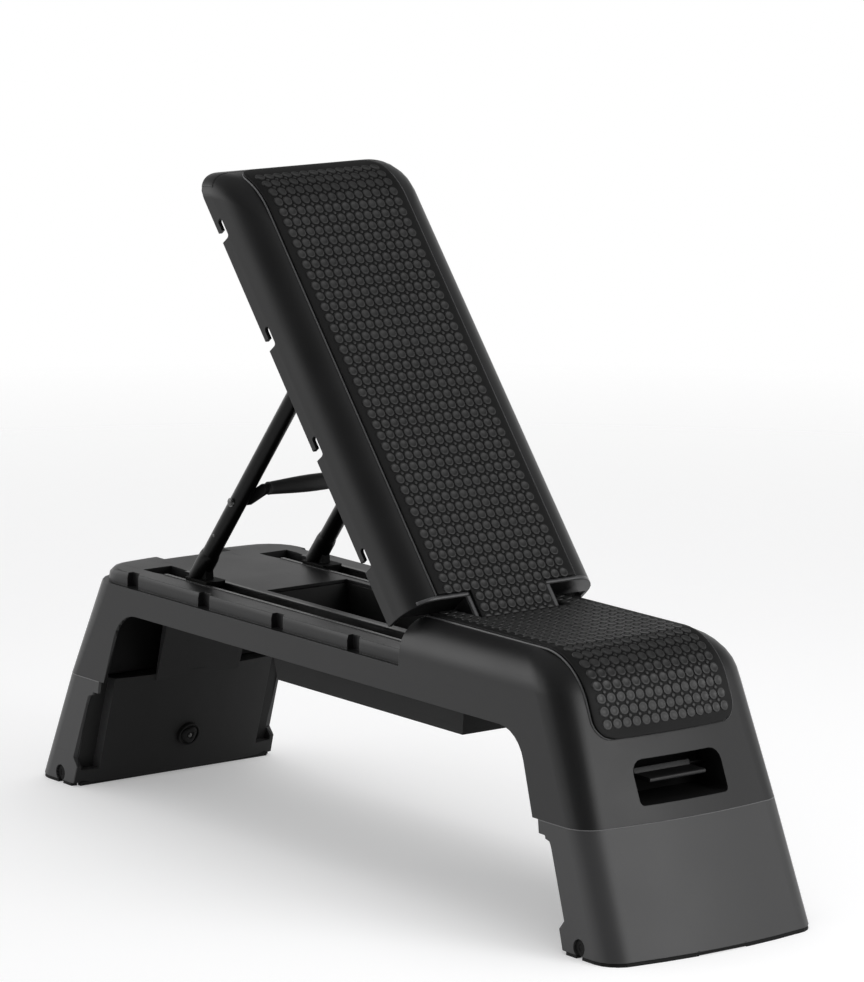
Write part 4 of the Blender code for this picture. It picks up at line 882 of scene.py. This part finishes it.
def studs(name, lay, middles, radii, lifts, body, flip, sides=12):
    """Profile (radius, lift) turned round each middle: s + r cos, y + r sin, thickness + lift."""
    turn = np.linspace(0.0, 2 * np.pi, sides, endpoint=False)
    s = middles[:, 0, None, None] + radii[None, :, None] * np.cos(turn)
    y = middles[:, 1, None, None] + radii[None, :, None] * np.sin(turn)
    lift = MAT_THICKNESS + lifts[None, :, None] + 0.0 * s
    points = lay(s, y, lift).reshape(-1, 3)
    one = grid_faces(len(radii), sides, ring=True, flip=flip)
    step = len(radii) * sides
    starts = np.arange(len(middles)) * step
    faces = (one[None, :, :] + starts[:, None, None]).reshape(-1, 4)
    cap = np.arange(sides) + (len(radii) - 1) * sides
    caps = cap[:: -1 if flip else 1][None, :] + starts[:, None]
    make_piece(name, points, list(faces) + list(caps), body, stud_rubber, 50.0)
    print(name, len(middles), "studs")


def lattice(rows, columns):
    """Every pair of a distance along and a distance across."""
    s, y = np.meshgrid(rows, columns, indexing="ij")
    return np.column_stack((s.ravel(), y.ravel()))


def stud_field(name, lay, rows, half_step, length, stud_fits, dot_fits, body, flip):
    """The studs that keep inside the mat's outline, and the dots half a step on from them."""
    places = lattice(rows, stud_columns)
    s, y = places[:, 0], np.abs(places[:, 1])
    fits = (y + STUD_ROOM < corner_share(s, length)) & stud_fits(s, y)
    studs(f"{name}_studs", lay, places[fits], STUD_RADII, STUD_LIFTS, body, flip)
    places = lattice(rows[:-1] + half_step, dot_columns)
    fits = dot_fits(places[:, 0], np.abs(places[:, 1]))
    studs(f"{name}_dots", lay, places[fits], DOT_RADII, DOT_LIFTS, body, flip, 8)


stud_columns = (np.arange(14) - 6.5) * STUD_ACROSS
dot_columns = (np.arange(13) - 6.0) * STUD_ACROSS
STUD_ROOM = 6.5 * MM
BACK_FIRST_ROW = 59.5 * MM
BACK_ENDS = (6 * MM, 9 * MM)
SEAT_ENDS = (7 * MM, 16 * MM)
BESIDE_RECESS = 62 * MM

back_rows = BACK_FIRST_ROW + STUD_ALONG * np.arange(-4, 40)
back_rows = back_rows[(back_rows > BACK_ENDS[0]) & (back_rows < back_way.length - BACK_ENDS[1])]
stud_field(
    "backrest", on_back, back_rows, STUD_ALONG / 2, back_way.length,
    lambda s, y: (y < 49 * MM) | (s > BACK_FRONT + 3 * MM),
    lambda s, y: (y < 46 * MM) | (s > BACK_FRONT + 3 * MM), "backrest", False,
)
seat_rows = seat_way.length - SEAT_ENDS[1] - STUD_ALONG * np.arange(24)
seat_rows = seat_rows[seat_rows > SEAT_ENDS[0]]
stud_field(
    "seat", on_seat, seat_rows, -STUD_ALONG / 2, seat_way.length,
    lambda s, y: (y > BESIDE_RECESS) | (s > RECESS_END + 7 * MM),
    lambda s, y: (y > BESIDE_RECESS) | (s > RECESS_END + 4 * MM), "base", True,
)

# %% [markdown]
# ## Turned pieces
#
# The pull handle's grip, the rivet heads, the struts' sleeves and the stop under each leg are round
# about an axis, so each is a profile turned on a circle: one parameter goes along the profile and
# the other round.

# %% Turning a profile
def lathe(name, centre, axis, profile, body, finish, sides=32, sharp=35.0, wave=None):
    """Points centre + axis * a + (u cos + v sin) * r(a), for a profile of (a, r) pairs in mm."""
    axis = Vector(axis).normalized()
    u = np.array(axis.orthogonal().normalized())
    v = np.cross(np.array(axis), u)
    a, r = (np.array(profile, dtype=float) * MM).T
    turn = np.linspace(0.0, 2 * np.pi, sides, endpoint=False)
    around = np.cos(turn)[:, None] * u + np.sin(turn)[:, None] * v
    radius = np.repeat(r[:, None], sides, axis=1)
    if wave is not None:
        radius = radius * wave(turn)[None, :]
    points = np.array(centre) + a[:, None, None] * np.array(axis) + radius[:, :, None] * around[None]
    made = closed_piece(name, points, body, finish, sharp)
    made.data.set_sharp_from_angle(angle=math.radians(sharp))
    return made


# %% The pull handle's grip
GRIP_END = 7.3
GRIP_SWELL = 2.6
low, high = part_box("handle_grip")
middle = (np.array(low) + np.array(high)) / 2
half = (high[1] - low[1]) / 2 / MM
share = np.linspace(-1.0, 1.0, 41)
swell = GRIP_END + GRIP_SWELL * np.cos(share * np.pi / 2) ** 1.3
bulge = [(half * 0.965 * t, r) for t, r in zip(share, swell)]
ends = [(half, 4.5), (half - 0.4, 6.4), (half - 1.3, 7.3), (half * 0.972, 7.5)]
profile = [(-a, r) for a, r in ends] + bulge + ends[::-1]
grip = lathe("foam_grip", middle, (0, 1, 0), profile, "handle", grip_rubber, 40)
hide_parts("handle_grip")

# %% Rivets on the handle and screws on the struts
RAIL_OFFSET = 81.5
STRUT_TOP = np.array((-40.06, RAIL_OFFSET, 574.4)) * MM
STRUT_FOOT = np.array((-272.1, RAIL_OFFSET, 287.5)) * MM
HANDLE_RIVET = np.array((-206.1, RAIL_OFFSET + 11.4, 369.1)) * MM
SCREW_SHARE = 0.868
SCREW_OUT = np.array((0, 9.6, 0)) * MM


def strut_place(share_down, side):
    """A place on a strut's axis, from its upper pivot down to the shoe's pin."""
    return (STRUT_TOP + (STRUT_FOOT - STRUT_TOP) * share_down) * (1, side, 1)


HEAD = [(-2.7, 1.0), (-2.7, 4.6), (0.3, 4.6), (1.2, 4.2), (1.8, 3.2), (2.1, 1.6), (2.15, 0.4)]
SCREW = [(-1.0, 0.5), (-1.0, 1.9), (0.4, 1.9), (0.75, 1.4), (0.8, 0.3)]
for label, side in (("near", -1), ("far", 1)):
    rivet = HANDLE_RIVET * (1, side, 1)
    lathe(f"rivet_head_{label}", rivet, (0, side, 0), HEAD, "strut_frame", dull_zinc, 20)
    dot = strut_place(SCREW_SHARE, side) + SCREW_OUT * side
    lathe(f"strut_screw_{label}", dot, (0, side, 0), SCREW, "strut_frame", dull_zinc, 12)

# %% [markdown]
# ## The struts' feet
#
# Each strut ends in a black sleeve that carries the pin and reaches down into its slot. It is a
# plain turned piece about the strut's own axis, with an eased lower end.

# %% Sleeves of the struts
SLEEVE = [(-19, 1.0), (-19, 9.8), (-17.5, 10.6), (-12, 11.5), (21.6, 11.5), (23.4, 10.0), (23.6, 1.0)]
for label, side in (("near", -1), ("far", 1)):
    foot = strut_place(1.0, side)
    lathe(f"strut_sleeve_{label}", foot, foot - strut_place(0.0, side), SLEEVE,
          "strut_frame", tube_coat, 32)

# %% [markdown]
# ## Small mouldings drawn across the bench
#
# Several small parts have one outline in the bench's long section and keep it across the bench:
# the rubber strips under the legs' ends, the dark strips under the legs' inner panels, which stand
# for the contact shadow there and are a painted shadow, the ends of the legs' side flanges beside
# the seam, and the upright cheek beside the hinge. Each is its outline drawn from one distance
# across to another, closed at both ends, with its edges eased by a Bevel. The holes in the feet
# hold short rollers.

# %% Strips, flanges, rollers and the cheek
def drawn(name, outline, low, high, body, slot, finish, edge=0.5):
    """A closed form: the outline (x, z) at y = low and at y = high, all in millimetres."""
    flat = np.array(outline, dtype=float)
    level = np.zeros(len(flat))
    ends = [np.column_stack((flat[:, 0], level + y, flat[:, 1])) for y in (low, high)]
    made = closed_piece(name, np.stack(ends) * MM, body, finish, 30.0)
    eased = made.modifiers.new("edge", "BEVEL")
    eased.width = edge * MM
    eased.segments = 2


FLANGE = [(409.2, 132.5), (411.4, 118.5), (422, 118.2), (427.5, 115.8), (431.5, 110), (436, 100),
          (436, 132.5)]
FLANGE_FOOT = 140.97
FLANGE_WALL = 3.6
END_STRIP_HALF = 33
PANEL_SHADOW_STRIP_HALF = 132.5
END_STRIP = [(539.5, 0.3), (547.4, 0.3), (547.2, 5.2), (539.5, 5.2)]
PANEL_SHADOW_STRIP = [(454.8, 0.3), (461.0, 0.3), (461.0, 5.0), (453.9, 5.0)]
FOOT_HOLE = np.array((485.0, 134.5, 12.0)) * MM
ROLLER = [(-5.0, 1.0), (-5.0, 9.3), (2.6, 9.3), (3.3, 8.7), (3.4, 4.0), (2.6, 3.4), (2.6, 1.0)]
for label, sign in (("front", 1), ("rear", -1)):
    body = f"{label}_leg"
    strip = np.array(END_STRIP) * (sign, 1)
    drawn(f"end_strip_{label}", strip, -END_STRIP_HALF, END_STRIP_HALF, body, "rubber", foot_rubber)
    # The panel strip is a dark strip that stands for the contact shadow under the inner panel: a painted
    # shadow.
    strip = np.array(PANEL_SHADOW_STRIP) * (sign, 1)
    drawn(f"panel_shadow_strip_{label}", strip, -PANEL_SHADOW_STRIP_HALF, PANEL_SHADOW_STRIP_HALF, body, "rubber", foot_rubber)
    for beside, side in (("near", -1), ("far", 1)):
        flange = np.array(FLANGE) * (sign, 1)
        wall = side * (FLANGE_FOOT - SIDE_LEAN * flange[:, 1])
        inner = wall - side * FLANGE_WALL
        drawn(f"flange_{label}_{beside}", flange, inner, wall, body, "leg", leg_plastic, 0.3)
        lathe(f"foot_roller_{label}_{beside}", FOOT_HOLE * (sign, side, 1), (0, side, 0),
              ROLLER, body, foot_rubber, 24)
CHEEK = [(117, 264), (151, 264), (151, 289), (149.8, 293.5), (146.5, 296.8), (142, 298), (123, 298),
         (119, 296.5), (117, 293)]
CHEEK_SIDES = (119.5, 127.0)
# The cheek takes the darker inside finish: painted shade beside the hinge.
drawn("hinge_cheek", CHEEK, *CHEEK_SIDES, "base", "shell", shell_painted_shade, 0.8)

# %% [markdown]
# ## The bright edge of a leg
#
# Each leg's upper edge stands a hair proud of the shell above it and catches the light as a fine
# line. The bead is paler than the leg, which paints that fine line of light. It is a thin bead
# carried round the leg at the seam: along one side wall, round the corner, across the bowed end,
# and back along the other side. The path is the bench's plan at that height.

# %% Edges at the seams
SEAM_HEIGHT = 132.6 * MM
SEAM_CORNER = 30 * MM
SEAM_HALF = 136.02 * MM
SEAM_END = 494.2 * MM
SEAM_START = 409.6 * MM


def seam_edge(label, sign, thickness=0.6 * MM, turns=8):
    """Path P with its normal N, and a ring round it: P + N r cos t + up r sin t."""
    flat = SEAM_HALF - SEAM_CORNER
    begin = SEAM_END - END_BOW * flat**2 - SEAM_CORNER
    angle = np.radians(np.linspace(-90, 0, 14))
    side_x = np.linspace(SEAM_START, begin, 12)[:-1]
    near = np.column_stack((side_x, np.full(11, -SEAM_HALF), np.zeros(11), np.full(11, -1.0)))
    corner_x = begin + SEAM_CORNER * np.cos(angle)
    corner_y = -flat + SEAM_CORNER * np.sin(angle)
    corner = np.column_stack((corner_x, corner_y, np.cos(angle), np.sin(angle)))
    y = np.linspace(-flat, flat, 41)[1:-1]
    end = np.column_stack((SEAM_END - END_BOW * y**2, y, np.ones(39), np.zeros(39)))
    x, y, nx, ny = there_and_back(np.vstack((near, corner)), end)
    turn = np.linspace(0, 2 * np.pi, turns, endpoint=False)[None, :]
    out = thickness * np.cos(turn) - 0.25 * MM
    z = SEAM_HEIGHT + thickness * np.sin(turn) + 0.0 * x[:, None]
    rings = np.stack((sign * (x[:, None] + nx[:, None] * out), y[:, None] + ny[:, None] * out, z), -1)
    closed_piece(f"seam_edge_{label}", rings, f"{label}_leg", edge_painted_highlight, 60.0)


seam_edge("front", 1)
seam_edge("rear", -1)

# %% [markdown]
# ## The stops under the legs
#
# Low on each leg's inner panel a rubber stop is screwed into a round cup. When the leg folds, it
# lands under the deck on this stop. It is turned like the others, with three soft lobes round it,
# and a zinc screw in its middle.

# %% Stops
PANEL_LEAN = 0.31
CUP = [(-2.0, 3.0), (-2.0, 14.4), (2.2, 14.4), (2.8, 13.9), (2.8, 12.8), (2.2, 12.3), (0.6, 12.0),
       (0.6, 3.0)]
LOBES = [(0.2, 2.0), (0.4, 10.8), (1.8, 11.2), (3.4, 10.4), (4.4, 8.6), (4.6, 5.8), (3.4, 4.6),
         (3.3, 2.0)]
STOP_SCREW = [(2.6, 0.5), (2.6, 2.6), (4.2, 2.6), (4.9, 1.9), (5.1, 0.5)]


def three_lobes(turn):
    """A share of the radius that swells three times on the way round: 0.9 + 0.1 cos 3t."""
    return 1.0 - 0.1 * (1.0 - np.cos(3 * turn))


for label, sign in (("front", 1), ("rear", -1)):
    low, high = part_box(f"leg_stop_{label}")
    centre = (np.array(low) + np.array(high)) / 2
    out = np.array((-sign, 0.0, -PANEL_LEAN)) / math.hypot(1, PANEL_LEAN)
    body = f"{label}_leg"
    ring = lathe(f"stop_cup_{label}", centre, out, CUP, body, foot_rubber, 36)
    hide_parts(f"leg_stop_{label}")
    lathe(f"stop_lobes_{label}", centre, out, LOBES, body, foot_rubber, 48, wave=three_lobes)
    lathe(f"stop_screw_{label}", centre, out, STOP_SCREW, body, dull_zinc, 16)

# %% [markdown]
# ## The floor and the light
#
# The bench stands on a white studio floor that runs out of sight. The floor is a wide disc whose
# edge fades away, so that no horizon shows against the white behind it.
#
# Nearly all the light comes evenly from the white studio itself, which is why the shadow on the
# floor is so faint and soft. One broad lamp overhead deepens the shadow a little, and a small one
# lights the end of the seat. What a glossy surface sees is drawn in the world: a bright soft box
# low at the near side, which puts a bright band high on the near shoulders; a soft box past the
# seat's end, which lifts the end walls; and a pale backdrop behind. Between the two boxes it is
# dark, and the round corners of the end reflect that gap as a dark band.

# %% Floor
FLOOR_RADIUS = 7.0
FLOOR_GLOW = 0.3
FADE_START = 1.3
FADE_END = 3.4


def floor_disc(radius, rings=24, spokes=96):
    """A flat disc: rings of points at radius * share, on z = 0."""
    share = np.linspace(0.0, 1.0, rings + 1)[1:]
    angle = np.linspace(0.0, 2 * np.pi, spokes, endpoint=False)
    x = np.concatenate(([0.0], np.outer(share, np.cos(angle)).ravel() * radius))
    y = np.concatenate(([0.0], np.outer(share, np.sin(angle)).ravel() * radius))
    points = np.column_stack((x, y, np.zeros_like(x)))
    faces = [(0, i + 1, (i + 1) % spokes + 1) for i in range(spokes)]
    faces += list(1 + grid_faces(rings, spokes, ring=True, flip=True))
    mesh = bpy.data.meshes.new("floor")
    mesh.from_pydata(points.tolist(), [], [tuple(int(v) for v in face) for face in faces])
    made = bpy.data.objects.new("floor", mesh)
    scene.collection.objects.link(made)
    return made


floor = floor_disc(FLOOR_RADIUS)
white, tree, surface, place = new_finish("white_floor")
surface.inputs["Base Color"].default_value = (0.78, 0.78, 0.785, 1.0)
surface.inputs["Roughness"].default_value = 0.9
surface.inputs["Specular IOR Level"].default_value = 0.1
rays = add(tree, "ShaderNodeLightPath").outputs
mirrored = sum_of(tree, "MAXIMUM", rays["Is Glossy Ray"], rays["Is Transmission Ray"])
seen = sum_of(tree, "MAXIMUM", rays["Is Camera Ray"], mirrored)
strength = sum_of(tree, "MULTIPLY", seen, FLOOR_GLOW)
glow = add(tree, "ShaderNodeEmission", Color=(1.0, 1.0, 1.0, 1.0), Strength=strength)
lifted = add(tree, "ShaderNodeAddShader", i0=surface.outputs[0], i1=glow.outputs[0])
distance = add(tree, "ShaderNodeVectorMath", operation="LENGTH", i0=place).outputs["Value"]
fade = stretch(tree, distance, FADE_START, FADE_END, 0.0, 1.0)
mixed = add(tree, "ShaderNodeMixShader", i0=fade, i1=lifted.outputs[0])
tree.links.new(add(tree, "ShaderNodeBsdfTransparent").outputs[0], mixed.inputs[2])
tree.links.new(mixed.outputs[0], tree.nodes["Material Output"].inputs["Surface"])
floor.data.materials.append(white)

# %% World and lamps
def soft_lamp(name, place, aim, width, height, power):
    """A rectangular lamp at a place, facing a point."""
    light = bpy.data.lights.new(name, "AREA")
    light.shape = "RECTANGLE"
    light.size = width
    light.size_y = height
    light.energy = power
    made = bpy.data.objects.new(name, light)
    made.location = place
    made.rotation_euler = (Vector(aim) - Vector(place)).to_track_quat("-Z", "Y").to_euler()
    made.visible_camera = False
    scene.collection.objects.link(made)
    return made


overhead = soft_lamp(
    "overhead", place=(0.1, 0.2, 3.1), aim=(0.0, 0.0, 0.2), width=3.2, height=2.4, power=42,
)
overhead.visible_glossy = False
soft_lamp("seat_end", place=(1.85, 0.55, 0.95), aim=(0.5, 0.0, 0.15), width=0.8, height=0.8, power=8)


def towards(tree, direction, aim, edge, middle):
    """1 where a direction points at an aim, falling to 0 at the edge: a stretch of their cosine."""
    aim = tuple(Vector(aim).normalized())
    near = add(tree, "ShaderNodeVectorMath", operation="DOT_PRODUCT", i0=direction, i1=aim)
    low, high = (math.cos(math.radians(angle)) for angle in (edge, middle))
    return stretch(tree, near.outputs["Value"], low, high, 0.0, 1.0)


NEAR_AIM = (-0.62, -0.75, 0.33)
END_AIM = (0.72, 0.55, 0.42)
BACKDROP_AIM = (-0.785, 0.593, 0.0)
NEAR_STRENGTH = 2.1
END_STRENGTH = 1.6
LEAST_SEEN = 0.05
STUDIO_LIGHT = 0.45
BOX_LIGHT = 0.15

world = bpy.data.worlds.new("studio")
scene.world = world
world.use_nodes = True
tree = world.node_tree
sky = tree.nodes["Background"]
path = add(tree, "ShaderNodeLightPath").outputs
direction = add(tree, "ShaderNodeTexCoord").outputs["Generated"]
height = add(tree, "ShaderNodeSeparateXYZ", Vector=direction).outputs["Z"]
above_floor = stretch(tree, height, 0.0, 0.14, 0.1, 1.0)
near_box = sum_of(tree, "MULTIPLY", towards(tree, direction, NEAR_AIM, 42, 24), above_floor)
end_box = towards(tree, direction, END_AIM, 34, 12)
low_down = stretch(tree, height, 0.12, 0.5, 1.0, 0.15)
backdrop = sum_of(tree, "MULTIPLY", towards(tree, direction, BACKDROP_AIM, 100, 60), low_down)
end_glow = sum_of(tree, "MULTIPLY", end_box, END_STRENGTH)
boxes = sum_of(tree, "MULTIPLY_ADD", near_box, NEAR_STRENGTH, end_glow)
reflected = sum_of(tree, "ADD", sum_of(tree, "ADD", boxes, backdrop), LEAST_SEEN)
spread = sum_of(tree, "MULTIPLY_ADD", boxes, BOX_LIGHT, STUDIO_LIGHT)
seen = sum_of(tree, "MAXIMUM", path["Is Glossy Ray"], path["Is Transmission Ray"])
plain = add(tree, "ShaderNodeMix", data_type="FLOAT", i0=seen, i2=spread, i3=reflected).outputs[0]
mixed = add(tree, "ShaderNodeMix", data_type="FLOAT", i0=path["Is Camera Ray"], i2=plain, i3=1.0)
tree.links.new(mixed.outputs[0], sky.inputs["Strength"])
sky.inputs["Color"].default_value = (1.0, 1.0, 1.0, 1.0)
